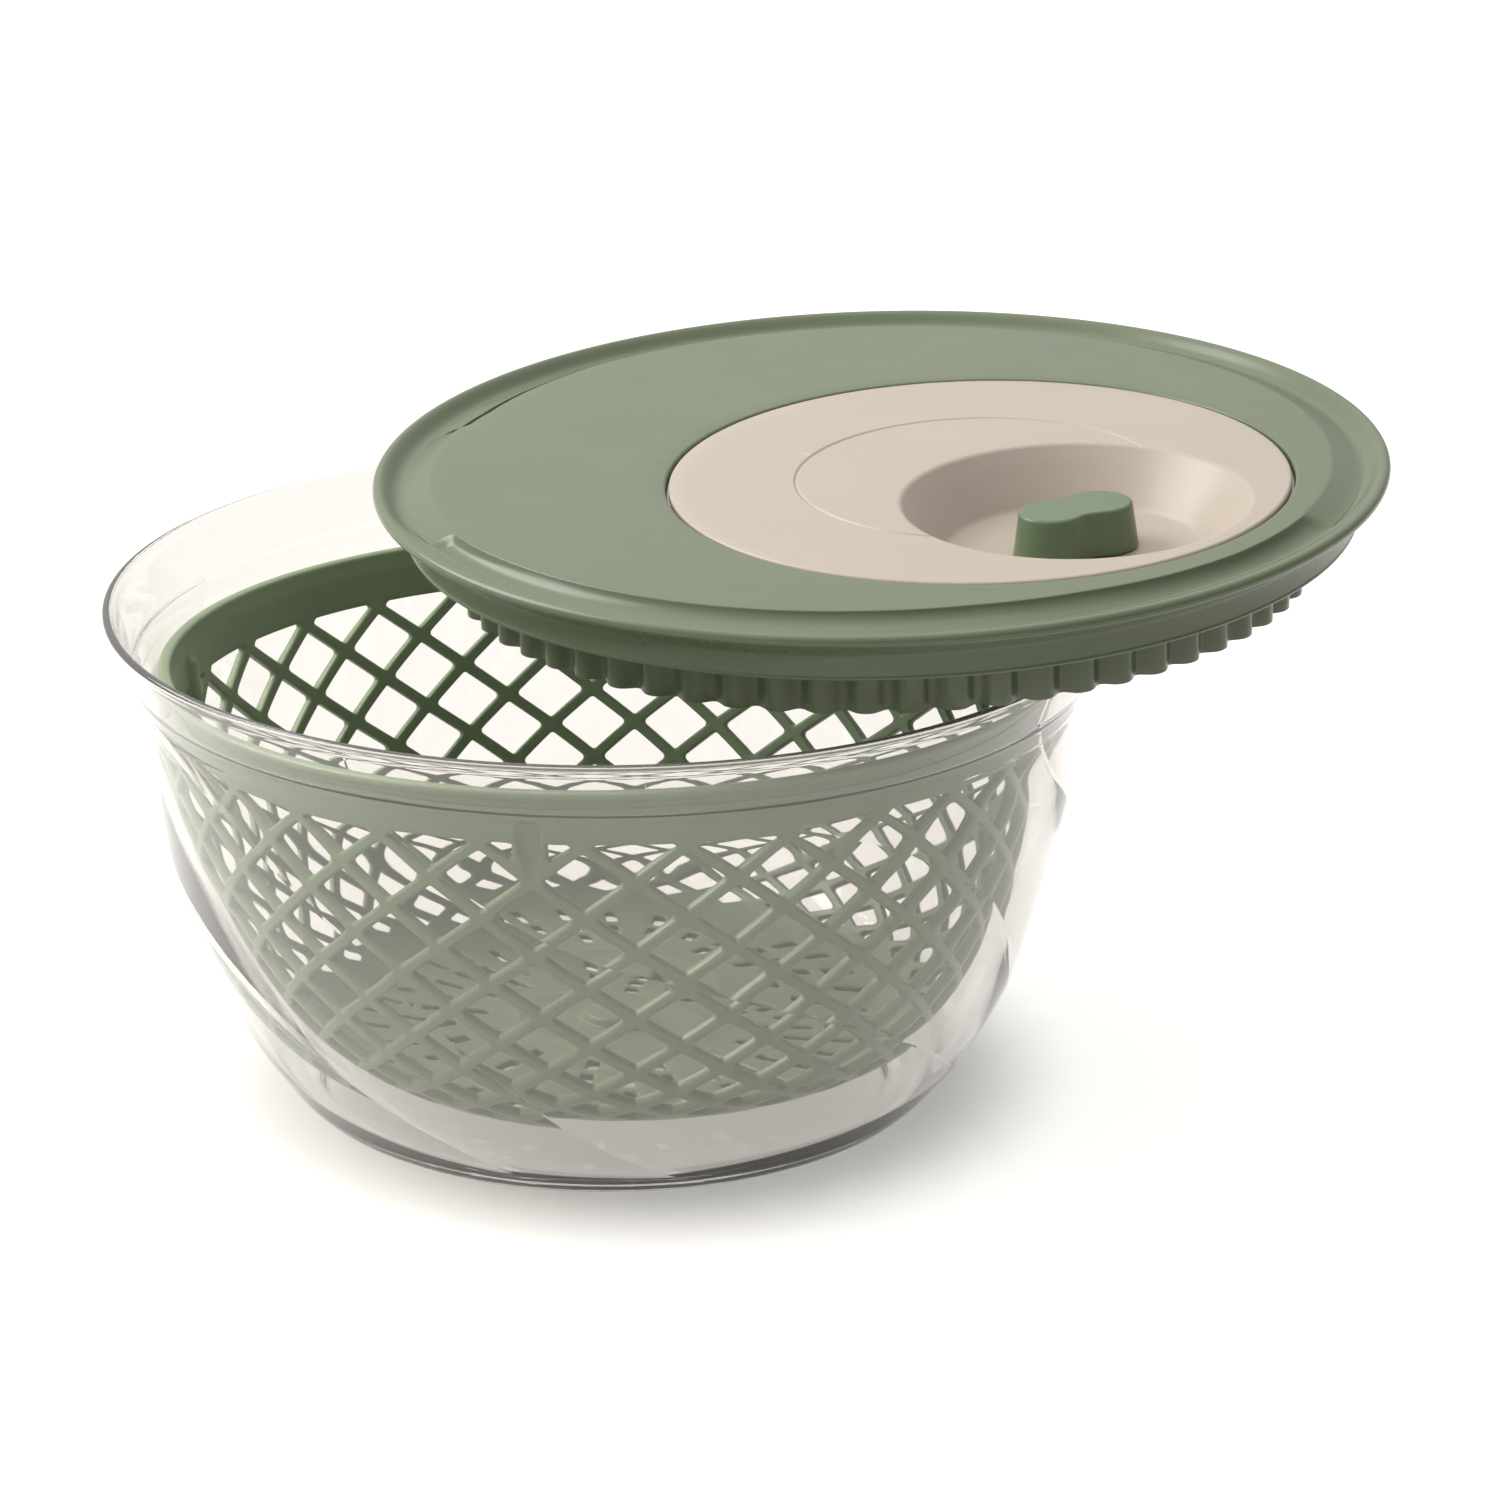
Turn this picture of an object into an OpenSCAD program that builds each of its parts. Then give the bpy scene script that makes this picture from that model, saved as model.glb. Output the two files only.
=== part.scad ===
// Salad spinner: clear bowl, lattice basket, and a lid with a crank disc and an internal gear train.
// The lid is stored off its seat: it lies shifted and slightly tilted on the bowl's rim.
// Millimetres, +Z up, origin at the centre of the bowl's base.

/* [Bowl] */
// Outer radius of the bowl's rim
rim_r = 140; // [139:0.5:141]
// Height of the bowl
bowl_h = 143.3; // [143:0.1:144]
// Radius of the flat base
base_r = 84; // [80:1:88]
// Wall thickness of the bowl
bowl_t = 2.2; // [2:0.1:2.4]
// Radius of the ball on the pivot pin that carries the basket
ball_r = 4; // [3.5:0.1:4.5]

/* [Basket] */
// Outer radius of the basket's rim
basket_r = 125; // [124:0.5:126]
// Height of the basket's rim above the table
basket_top = 125; // [124:0.5:125.5]
// Height of the underside of the basket's floor
basket_floor = 14; // [12:0.5:15]
// Wall thickness of the basket
basket_t = 3; // [2.4:0.1:3.2]
// Lattice openings around the wall
columns = 28; // [20:4:32]
// Width of a lattice strut
strut_w = 3.4; // [2.6:0.1:4]
// Lean of the basket on its pivot, about X
basket_lean_x = -2.1; // [-2.2:0.1:0]
// Lean of the basket on its pivot, about Y
basket_lean_y = -0.5; // [-0.6:0.1:0.6]
// Drive posts inside the basket's rim
posts = 4; // [2:1:4]

/* [Lid] */
// Outer radius of the lid's lip
lid_r = 140.6; // [140:0.1:142]
// Radius of the raised plateau
plateau_r = 125.5; // [124:0.5:126]
// Thickness of the lid's top
lid_t = 2.2; // [1.8:0.1:2.6]
// Depth of the skirt below the lip
skirt_h = 13.8; // [11:0.1:14]
// Place of the lid's centre, right of the bowl's axis
lid_x = 74.2; // [70:0.1:78]
// Place of the lid's centre, behind the bowl's axis
lid_y = 17; // [15:0.1:20]
// Height of the lid's lip above the table
lid_z = 175; // [174.8:0.1:185]
// Tilt of the stored lid about X
tilt_x = 1.75; // [1:0.05:2]
// Tilt of the stored lid about Y
tilt_y = -1.83; // [-2:0.01:-1]

/* [Crank] */
// Radius of the crank disc
disc_r = 85.5; // [84.5:0.5:86]
// Direction of the disc's axis from the lid's axis
disc_dir = -31.3; // [-45:0.1:0]
// Direction of the finger recess from the disc's axis
cup_dir = -40.6; // [-60:0.1:0]
// Distance of the recess from the disc's axis
cup_off = 33; // [32:0.1:34]
// Radius of the recess at its mouth
cup_r = 48.5; // [46:0.5:48.5]
// Depth of the recess
cup_depth = 15; // [14:0.5:15]
// Direction of the knob's long side
knob_dir = 28; // [0:1:90]
// Length of the knob's base
knob_l = 36.5; // [32:0.5:38]

/* [Gears] */
// Gear module
gear_m = 1.5; // [1.5:0.1:1.5]
// Teeth of the ring gear on the crank disc
ring_teeth = 63; // [63:21:63]
// Teeth of the pinion on the rotor
pinion_teeth = 21; // [21:1:21]
// Lobes of the rotor's corrugated ring
lobes = 64; // [60:4:68]
// Mean outer radius of the corrugated ring
rotor_r = 119; // [118.5:0.1:119.2]

/* [Hidden] */
$fn = 96;
eps = 0.01;

sage = [0.50, 0.58, 0.46];
sage_light = [0.60, 0.68, 0.55];
beige = [0.85, 0.81, 0.76];
clear_grey = [0.90, 0.88, 0.85, 0.4];
steel = [0.72, 0.73, 0.75];
acetal = [0.93, 0.93, 0.90];

run_gap = 0.05;                 // radial clearance of every running fit
centre_dist = gear_m * (ring_teeth - pinion_teeth) / 2;
pressure = 20;                  // pressure angle of the gear teeth
backlash = 0.25;                // taken off each gear tooth's thickness

// Heights in the lid's own frame, measured from the plane of its lip
top_z = 0.8;                    // plateau and crank disc, flush
under_z = top_z - lid_t;        // underside of the plateau
ledge_z = -2;                   // top of the ledge that carries the disc
ledge_t = 2.2;
cup_floor = top_z - cup_depth;  // floor of the finger recess
cup_under = cup_floor - 1.5;
gear_top = cup_under;
gear_bot = gear_top - 6.2;
pinion_top = gear_top - 0.5;
pinion_bot = gear_bot + 0.2;
base_top = gear_bot - 0.6;
base_bot = base_top - 1.6;
plate_top = base_bot - 0.6;
plate_bot = plate_top - 1.8;
ring_bot = -27.6;               // lower edge of the corrugated ring
ring_top = -8;

seat_r = disc_r + 0.6;          // bore of the lid around the disc
journal_r = 79.7;               // bore of the ledge
retainer_r = 82;
gear_wall_r = 51.6;             // outside of the wall that holds the ring gear
lug_r = 56;                     // circle of the ring gear's screws
base_wall_r = 115.7;
boss_ring_r = 100;              // circle of the lid's screw bosses
hub_r = 7;                      // rotor shaft
socket = 5.7;                   // square socket in the rotor shaft
knob_h = 12.6;
knob_w = 20.2;
waist = 1.7;                    // depth of the knob's waist on each side
stem_r = 2.75;

// ---- frames ----

module in_lid() {
    translate([lid_x, lid_y, lid_z]) rotate([tilt_x, tilt_y, 0]) children();
}

module in_disc() {
    in_lid() translate([centre_dist * cos(disc_dir), centre_dist * sin(disc_dir), 0]) children();
}

module in_cup() {
    in_disc() at_cup() children();
}

module at_cup() {
    translate([cup_off * cos(cup_dir), cup_off * sin(cup_dir), 0]) children();
}

// A plain tube between two heights
module tube(r_out, r_in, z0, z1) {
    translate([0, 0, z0]) difference() {
        cylinder(r = r_out, h = z1 - z0);
        translate([0, 0, -1]) cylinder(r = r_in, h = z1 - z0 + 2);
    }
}

module rod(r, z0, z1) {
    translate([0, 0, z0]) cylinder(r = r, h = z1 - z0);
}

// Screw with its head at the lower end
module screw(head_r, head_h, shank_r, z_head, z_tip) {
    difference() {
        rod(head_r, z_head, z_head + head_h);
        translate([-head_r * 0.6, -0.4, z_head - 1]) cube([head_r * 1.2, 0.8, 1.8]);
        translate([-0.4, -head_r * 0.6, z_head - 1]) cube([0.8, head_r * 1.2, 1.8]);
    }
    rod(shank_r, z_head + head_h, z_tip);
}

// ---- gear outlines ----

function involute_angle(r, rb) = let (c = rb / r) tan(acos(c)) * 180 / PI - acos(c);

// Half angle of a tooth at radius r
function tooth_half(r, rp, n, thin) =
    let (rb = rp * cos(pressure))
    90 / n - thin * 90 / (PI * rp) + involute_angle(rp, rb) - involute_angle(max(r, rb), rb);

module gear_outline(n, add, ded, thin) {
    rp = gear_m * n / 2;
    radii = [rp - ded, rp - ded * 0.4, rp, rp + add * 0.5, rp + add];
    flank = [for (r = radii) [r, tooth_half(r, rp, n, thin)]];
    polygon([for (i = [0:n - 1]) let (a = i * 360 / n)
        each concat(
            [for (f = flank) [f[0] * cos(a - f[1]), f[0] * sin(a - f[1])]],
            [for (k = [len(flank) - 1:-1:0]) let (f = flank[k])
                [f[0] * cos(a + f[1]), f[0] * sin(a + f[1])]])]);
}

// ---- bowl ----

// Outer half-profile, from the base to the rim
bowl_outer = [[base_r, 0], [base_r + 7, 3], [base_r + 14, 10.5], [base_r + 21.5, 21], [base_r + 29.5, 37],
              [base_r + 37, 59], [base_r + 43, 84], [base_r + 46.5, 108], [base_r + 48, 119],
              [base_r + 50.5, 128], [rim_r - 1, bowl_h - 3], [rim_r, bowl_h - 1.2]];
floor_z = 3.6;                  // inside of the bowl's floor
boss_r = 6;                     // boss moulded in the bowl's floor for the pivot pin
boss_z = 8;
pin_r = 2.5;
ball_z = 13;                    // centre of the ball that the basket turns on

module bowl() {
    color(clear_grey) difference() {
        union() {
            rotate_extrude($fn = 180) polygon(concat(
                [[0, 0]], bowl_outer, [[rim_r - 0.6, bowl_h], [rim_r - 1.6, bowl_h], [rim_r - bowl_t, bowl_h - 1]],
                [for (i = [len(bowl_outer) - 2:-1:2]) [bowl_outer[i][0] - bowl_t, bowl_outer[i][1] + 0.8]],
                [[base_r + 6, 6.5], [base_r - 1, floor_z], [0, floor_z]]));
            rod(boss_r, 3, boss_z);
        }
        rod(pin_r, 1.5, 20);
    }
}

module pivot_pin() {
    color(steel) {
        rod(pin_r, 1.5, ball_z);
        translate([0, 0, ball_z]) sphere(r = ball_r);
    }
}

// ---- basket ----

// The basket leans on its ball pivot while the lid is off
module in_basket() {
    translate([0, 0, ball_z]) rotate([basket_lean_x, basket_lean_y, 0]) translate([0, 0, -ball_z]) children();
}

// Outer half-profile from the floor's edge up to the rim
wall = [[75, basket_floor], [82, basket_floor + 2.2], [89, basket_floor + 6.5], [95, 26], [100.5, 33],
        [105, 41], [108.8, 50], [112, 60], [115.3, 70.5], [117.8, 81], [120, 93], [121.6, 104],
        [122.8, 113], [123.4, basket_top - 2.4]];
row_top = 98.3;                 // height of the top row of strut crossings
row_pitch = 0.8;                // height of a half opening over its half width
rows = 10;
post_dir = -98.3;               // direction of the first drive post
post_r = 3.3;
post_axis = 118.6;
pocket_axis = 121.5;            // half-round pocket in the back of each post

function seg(z, i = 0) = (i >= len(wall) - 2 || wall[i + 1][1] > z) ? i : seg(z, i + 1);
function wall_r(z) = let (i = seg(z), a = wall[i], b = wall[i + 1])
    a[0] + (b[0] - a[0]) * (z - a[1]) / (b[1] - a[1]);
function wall_lean(z) = let (i = seg(z), a = wall[i], b = wall[i + 1]) atan2(b[0] - a[0], b[1] - a[1]);
function half_cell(z) = PI * wall_r(z) / columns;
// Height of row k of strut crossings: the rows close up as the wall narrows
function row_z(k) = k == 0 ? row_top :
    let (s = sign(k), z = row_z(k - s)) z - s * row_pitch * half_cell(z) * cos(wall_lean(z - s * 5));

// Opening centred on row k, in column j; the top row is cut off by the solid band
module opening(k, j) {
    z = row_z(k);
    half_w = half_cell(z) - strut_w * 0.72;
    half_h = row_pitch * half_cell(z) - strut_w * 0.62;
    rotate([0, 0, post_dir + (j + ((k + 10) % 2 == 0 ? 0.5 : 0)) * 360 / columns])
        translate([wall_r(z), 0, z]) rotate([0, 90 + wall_lean(z), 0])
            translate([0, 0, -9]) linear_extrude(height = 16)
                polygon(k < 0 ? [[half_h, 0], [0, -half_w], [-1, -half_w + 2], [-1, half_w - 2], [0, half_w]]
                              : [[half_h, 0], [0, -half_w], [-half_h, 0], [0, half_w]]);
}

// Rings of slots in the floor: radius of their centres, length, count
floor_rings = [[67, 10, columns], [54, 9, columns], [42, 8, columns / 2]];

module at_posts() {
    for (i = [0:posts - 1]) rotate([0, 0, post_dir + i * 360 / posts]) children();
}

module basket() {
    color(sage) in_basket() difference() {
        union() {
            difference() {
                rotate_extrude($fn = 180) polygon(concat(
                    [[0, basket_floor]], wall,
                    [[basket_r, basket_top - 1.8], [basket_r, basket_top - 0.4], [basket_r - 0.6, basket_top],
                     [122, basket_top], [121.6, basket_top - 0.6]],
                    [for (i = [len(wall) - 2:-1:1]) let (lean = wall_lean(wall[i][1] - 1))
                        [wall[i][0] - basket_t * cos(lean), wall[i][1] + basket_t * sin(lean)]],
                    [[73, basket_floor + 2.6], [0, basket_floor + 2.6]]));
                for (k = [0:rows - 1], j = [0:columns - 1]) opening(k, j);
                for (j = [0:columns - 1]) if (j % (columns / posts) != 0) opening(-1, j);
                for (ring = floor_rings, i = [0:ring[2] - 1])
                    rotate([0, 0, post_dir + i * 360 / ring[2]])
                        translate([ring[0] - ring[1] / 2, -1.8, basket_floor - 1]) cube([ring[1], 3.6, 6]);
            }
            at_posts() translate([post_axis, 0, 0]) rod(post_r, 97, 118.2);
            rod(9.5, boss_z + 1.6, 20);
        }
        rod(7, 5, 18.5);
        at_posts() translate([pocket_axis, 0, 0]) rod(post_r - 0.7, 99, 117);
    }
}

// Bearing bush with a spherical seat
module basket_bush() {
    color(acetal) in_basket() difference() {
        rod(7, boss_z + 1.6, 18.5);
        translate([0, 0, ball_z]) sphere(r = ball_r + run_gap);
        translate([0, 0, boss_z]) cylinder(r1 = ball_r + 1.2, r2 = ball_r - 0.3, h = ball_z - boss_z - 1.5);
    }
}

// ---- lid ----

// Directions of the screw bosses, on the side that the crank disc leaves free
boss_dirs = [for (i = [1:5]) disc_dir + 62 + (i - 1) * 59];

module at_bosses() {
    for (a = boss_dirs) rotate([0, 0, a]) translate([boss_ring_r, 0, 0]) children();
}

module lid_shell() {
    gutter = -3.4;
    color(sage) in_lid() difference() {
        union() {
            rotate_extrude($fn = 180) polygon([
                [0, top_z], [plateau_r - 0.8, top_z], [plateau_r - 0.2, top_z - 0.4], [plateau_r + 0.6, -2.2],
                [plateau_r + 1.6, gutter], [plateau_r + 3.5, gutter - 0.4], [plateau_r + 6.5, gutter + 0.5],
                [plateau_r + 9.5, -1.4], [lid_r - 4.6, -0.4], [lid_r - 4, 0.7], [lid_r - 2, 1.2],
                [lid_r - 0.6, 0.9], [lid_r, 0], [lid_r - 0.3, -1.2], [lid_r - 3, -2.4],
                [lid_r - 6, -4.6], [lid_r - 8, -6.4], [lid_r - 8.6, -skirt_h + 1], [lid_r - 8.8, -skirt_h],
                [lid_r - 10.8, -skirt_h], [lid_r - 10.6, -6.5], [plateau_r - 1.8, -5.6],
                [plateau_r - 2.4, under_z], [0, under_z]]);
            at_bosses() tube(4, 1.5, -17.5, under_z + eps);
            translate([centre_dist * cos(disc_dir), centre_dist * sin(disc_dir), 0])
                rod(seat_r + 2, ledge_z - ledge_t, top_z - 0.5);
        }
        translate([centre_dist * cos(disc_dir), centre_dist * sin(disc_dir), 0]) {
            rod(seat_r, ledge_z, 5);
            rod(journal_r, -10, 5);
        }
        at_bosses() rod(1.5, -30, -7);
    }
}

module lid_base() {
    color(sage_light) in_lid() difference() {
        union() {
            tube(base_wall_r, base_wall_r - 1.5, base_bot, ledge_z - ledge_t - 0.1);
            rod(base_wall_r - 0.5, base_bot, base_top);
            at_bosses() rod(5.5, base_bot, -17.5);
            rod(11, base_bot, -17.7);
        }
        rod(9, -40, 0);
        at_bosses() rod(1.6, -40, 0);
        at_bosses() rod(3.4, -40, base_bot + 2.6);
    }
}

module lid_screws() {
    color(steel) in_lid() at_bosses() screw(3.1, 2.2, 1.48, base_bot + 0.4, -8);
}

module rotor_bush() {
    color(acetal) in_lid() tube(9, hub_r + run_gap, base_bot, -17.7);
}

module glide_ring() {
    color(acetal) in_disc() tube(seat_r - 0.3, journal_r + 0.9, ledge_z, ledge_z + 0.5);
}

// ---- crank disc ----

// Inner half-profile of the finger recess: rounded mouth, sloped wall, rounded floor
cup_mouth = 2.2;
cup_inner = concat(
    [for (a = [0:15:75]) [cup_r - cup_mouth * sin(a), top_z - cup_mouth * (1 - cos(a))]],
    [[cup_r - 3.9, ledge_z], [cup_r - 12.1, cup_floor + 1.4], [cup_r - 12.9, cup_floor + 0.4], [cup_r - 14, cup_floor]]);

module gear_bosses() {
    for (a = [90:60:270]) rotate([0, 0, cup_dir + a]) translate([lug_r, 0, 0]) children();
}

module crank_disc() {
    disc_under = ledge_z + 0.55;
    color(beige) in_disc() {
        difference() {
            union() {
                difference() {
                    union() {
                        rotate_extrude($fn = 180) polygon([[0, top_z], [disc_r - 0.5, top_z],
                            [disc_r, top_z - 0.5], [disc_r, disc_under], [0, disc_under]]);
                        tube(journal_r - run_gap, journal_r - 2.1, ledge_z - ledge_t - 0.4, disc_under + eps);
                        tube(gear_wall_r, gear_wall_r - 2, gear_top, disc_under + eps);
                        gear_bosses() rod(3.2, gear_top, disc_under + eps);
                        at_cup() rotate_extrude() polygon(concat([[0, 0]],
                            [for (p = cup_inner) if (p[1] < 0 && p[1] > cup_floor + 1) [p[0] + 1.6, p[1]]],
                            [[cup_r - 12.6, cup_under], [0, cup_under]]));
                    }
                    at_cup() rotate_extrude() polygon(concat([[0, 10], [cup_r, 10]], cup_inner, [[0, cup_floor]]));
                    rotate_extrude() polygon([[50, top_z + 1], [50, top_z - 0.3], [50.7, top_z - 0.3], [50.7, top_z + 1]]);
                }
                at_cup() rod(5.6, cup_under, -4.5);
            }
            at_cup() rod(stem_r + run_gap, -30, 0);
            at_cup() rod(4.1, -30, -9.5);
            gear_bosses() rod(1.25, -30, -6);
        }
    }
}

module ring_gear() {
    color(acetal) in_disc() difference() {
        union() {
            rod(gear_wall_r + 0.6, gear_bot, gear_top);
            gear_bosses() rod(4.4, gear_bot + 3.4, gear_top);
        }
        translate([0, 0, gear_bot - 1]) rotate([0, 0, disc_dir + 180]) linear_extrude(height = 10)
            gear_outline(ring_teeth, gear_m * 1.25, gear_m, -backlash);
        gear_bosses() rod(1.4, -40, 0);
    }
}

module gear_screws() {
    color(steel) in_disc() gear_bosses() screw(2.6, 1.8, 1.22, gear_bot + 1.6, -7);
}

module disc_retainer() {
    color(acetal) in_disc() tube(retainer_r, journal_r - 2.1, ledge_z - ledge_t - 2, ledge_z - ledge_t - 0.4);
}

// ---- knob ----

module knob_plan(l, w) {
    difference() {
        hull() for (s = [-1, 1]) translate([s * (l - w) / 2, 0]) circle(d = w, $fn = 48);
        for (s = [-1, 1]) translate([0, s * (w / 2 + 30 - waist)]) circle(r = 30, $fn = 120);
    }
}

module knob() {
    knob_bot = cup_floor + 0.4;
    color(sage) in_cup() {
        rotate([0, 0, knob_dir]) difference() {
            translate([0, 0, knob_bot]) linear_extrude(height = knob_h, scale = 0.9) knob_plan(knob_l, knob_w);
            translate([0, 0, knob_bot - 0.1]) linear_extrude(height = knob_h - 1.9, scale = 0.92)
                knob_plan(knob_l - 4, knob_w - 3.6);
        }
        difference() {
            rod(stem_r, -9.7, knob_bot + knob_h - 1);
            rod(1.1, -12, -2);
        }
    }
}

module knob_washer() {
    color(steel) in_cup() tube(3.9, 1.3, -10.2, -9.7);
}

module knob_screw() {
    color(steel) in_cup() screw(3.4, 1.8, 1.08, -12, -3);
}

// ---- rotor ----

lobe_h = 1.5;
lobe_phase = 2.2;
lobe_steps = 6;

module rotor() {
    outline = [for (i = [0:lobes * lobe_steps - 1]) let (a = i * 360 / (lobes * lobe_steps))
        (rotor_r + lobe_h * cos(lobes * a)) * [cos(a), sin(a)]];
    color(sage_light) in_lid() difference() {
        union() {
            difference() {
                translate([0, 0, ring_bot]) rotate([0, 0, lobe_phase]) linear_extrude(height = ring_top - ring_bot)
                    polygon(outline);
                rod(rotor_r - lobe_h - 1.2, -40, 0);
            }
            rod(rotor_r - lobe_h - 1.1, plate_bot, plate_top);
            rod(hub_r, plate_bot, -17.1);
            for (i = [0:7]) rotate([0, 0, i * 45]) translate([12, -0.8, plate_bot - 1])
                cube([104, 1.6, 1 + eps]);
        }
        translate([-socket / 2, -socket / 2, -22.3]) cube([socket, socket, 10]);
        rod(1.6, -40, 0);
        rod(3.4, -40, plate_bot + 2);
    }
}

module pinion() {
    color(acetal) in_lid() difference() {
        union() {
            difference() {
                translate([0, 0, pinion_bot]) rotate([0, 0, disc_dir + 180])
                    linear_extrude(height = pinion_top - pinion_bot)
                        gear_outline(pinion_teeth, gear_m, gear_m * 1.25, backlash);
                rod(11.5, -40, -17.1);
            }
            translate([-socket / 2 + 0.05, -socket / 2 + 0.05, -22.2]) cube([socket - 0.1, socket - 0.1, 5.2]);
        }
        rod(1.25, -40, -17);
    }
}

module thrust_washer() {
    color(acetal) in_lid() tube(10.8, hub_r + 0.3, -17.65, -17.15);
}

module rotor_screw() {
    color(steel) in_lid() screw(3.2, 2, 1.22, plate_bot, -17.5);
}

bowl();
pivot_pin();
basket();
basket_bush();
lid_shell();
lid_base();
lid_screws();
rotor_bush();
glide_ring();
crank_disc();
ring_gear();
gear_screws();
disc_retainer();
knob();
knob_washer();
knob_screw();
rotor();
pinion();
thrust_washer();
rotor_screw();
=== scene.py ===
import math
from math import sin, cos, tan, pi, radians, degrees, sqrt, hypot, atan2
import bpy
import bmesh
import numpy as np
from mathutils import Matrix, Vector


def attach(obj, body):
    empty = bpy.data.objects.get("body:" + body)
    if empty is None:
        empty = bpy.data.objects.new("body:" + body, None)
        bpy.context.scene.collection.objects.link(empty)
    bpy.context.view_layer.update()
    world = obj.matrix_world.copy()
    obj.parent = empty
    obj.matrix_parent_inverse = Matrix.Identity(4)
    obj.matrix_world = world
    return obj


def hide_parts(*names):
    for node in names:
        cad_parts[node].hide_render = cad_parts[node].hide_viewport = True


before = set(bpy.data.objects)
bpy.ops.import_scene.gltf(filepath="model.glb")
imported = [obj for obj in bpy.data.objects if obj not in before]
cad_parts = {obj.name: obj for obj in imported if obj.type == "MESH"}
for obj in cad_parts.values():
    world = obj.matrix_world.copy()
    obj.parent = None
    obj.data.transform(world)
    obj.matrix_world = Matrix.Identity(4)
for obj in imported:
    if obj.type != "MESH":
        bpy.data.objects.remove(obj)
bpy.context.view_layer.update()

scene = bpy.context.scene

# ---------------------------------------------------------------- frames (millimetres, as in the CAD source)

def move(x, y, z=0.0):
    return Matrix.Translation((x, y, z))


def turn(axis, deg):
    return Matrix.Rotation(radians(deg), 4, axis)


BALL_Z = 13.0
BASKET = move(0, 0, BALL_Z) @ turn("Y", -0.5) @ turn("X", -2.1) @ move(0, 0, -BALL_Z)
LID = move(74.2, 17.0, 175.0) @ turn("Y", -1.83) @ turn("X", 1.75)
DISC_DIR, CUP_DIR = -31.3, -40.6
DISC_OFF, CUP_OFF = 31.5, 33.0
DISC = LID @ move(DISC_OFF * cos(radians(DISC_DIR)), DISC_OFF * sin(radians(DISC_DIR)))
CUP = DISC @ move(CUP_OFF * cos(radians(CUP_DIR)), CUP_OFF * sin(radians(CUP_DIR)))
TOP_Z = 0.8

# ---------------------------------------------------------------- mesh helpers


class Shape:
    """Collects points in millimetres and faces; equal points are welded when it is built."""

    def __init__(self):
        self.v = []
        self.f = []

    def add(self, pts):
        k = len(self.v)
        self.v.extend(pts)
        return list(range(k, k + len(pts)))

    def strip(self, rows, closed=True):
        """Quads between rows of points; each row closes on itself if closed."""
        ids = [self.add(r) for r in rows]
        n = len(rows[0])
        m = n if closed else n - 1
        for a, b in zip(ids, ids[1:]):
            for i in range(m):
                j = (i + 1) % n
                self.f.append((a[i], a[j], b[j], b[i]))
        return ids

    def fan(self, row, centre):
        """Closes a ring with triangles to a centre point."""
        c = self.add([centre])[0]
        n = len(row)
        for i in range(n):
            self.f.append((row[i], row[(i + 1) % n], c))

    def revolve(self, profile, n=256, centre=(0.0, 0.0)):
        """Turns (r, z) points round a vertical axis; a point at r 0 closes the end."""
        ang = [2 * pi * i / n for i in range(n)]
        rows = [[(centre[0] + r * cos(a), centre[1] + r * sin(a), z) for a in ang]
                for r, z in profile if r > 1e-6]
        ids = self.strip(rows)
        for end, k in ((0, 0), (-1, -1)):
            if profile[end][0] <= 1e-6:
                self.fan(ids[k], (centre[0], centre[1], profile[end][1]))
        return ids

    def tube(self, r_out, r_in, z0, z1, n=96, centre=(0.0, 0.0), edge=0.2):
        """A closed ring with small edge bevels."""
        e = edge
        prof = [(r_out - e, z0), (r_out, z0 + e), (r_out, z1 - e), (r_out - e, z1),
                (r_in + e, z1), (r_in, z1 - e), (r_in, z0 + e), (r_in + e, z0), (r_out - e, z0)]
        self.revolve(prof, n, centre)


def build(name, shape, matrix, sharp=32.0, weld=0.003):
    """The mesh object in metres, in the row frame, welded, smooth, with sharp edges by angle."""
    pts = np.array(shape.v, float)
    m = np.array(matrix, float)
    pts = (pts @ m[:3, :3].T + m[:3, 3]) * 0.001
    me = bpy.data.meshes.new(name)
    me.from_pydata(pts.tolist(), [], shape.f)
    bm = bmesh.new()
    bm.from_mesh(me)
    bmesh.ops.remove_doubles(bm, verts=bm.verts, dist=weld * 0.001)
    bmesh.ops.dissolve_degenerate(bm, dist=1e-7, edges=bm.edges)
    bmesh.ops.recalc_face_normals(bm, faces=bm.faces)
    shade(bm, sharp)
    bm.to_mesh(me)
    bm.free()
    ob = bpy.data.objects.new(name, me)
    scene.collection.objects.link(ob)
    return ob


def shade(bm, sharp):
    limit = radians(sharp)
    for f in bm.faces:
        f.smooth = True
    for e in bm.edges:
        e.smooth = len(e.link_faces) == 2 and e.calc_face_angle(0.0) < limit


def finish_piece(ob, mat, body, node):
    ob.data.materials.clear()
    ob.data.materials.append(mat)
    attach(ob, body)
    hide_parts(node)
    return ob


def curve_through(pts, n=8):
    """A smooth (Catmull-Rom) curve through points, n steps between each pair."""
    out = []
    p = [pts[0]] + list(pts) + [pts[-1]]
    for i in range(1, len(p) - 2):
        a, b, c, d = p[i - 1], p[i], p[i + 1], p[i + 2]
        for k in range(n):
            t = k / n
            out.append(tuple(0.5 * (2 * b[j] + (c[j] - a[j]) * t
                                    + (2 * a[j] - 5 * b[j] + 4 * c[j] - d[j]) * t * t
                                    + (3 * b[j] - a[j] - 3 * c[j] + d[j]) * t ** 3) for j in (0, 1)))
    out.append(tuple(pts[-1]))
    return out


def arc(cx, cz, r, a0, a1, n):
    """Points on an arc in the profile plane, angles in degrees."""
    return [(cx + r * cos(radians(a0 + (a1 - a0) * i / n)), cz + r * sin(radians(a0 + (a1 - a0) * i / n)))
            for i in range(n + 1)]


# ---------------------------------------------------------------- materials


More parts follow.
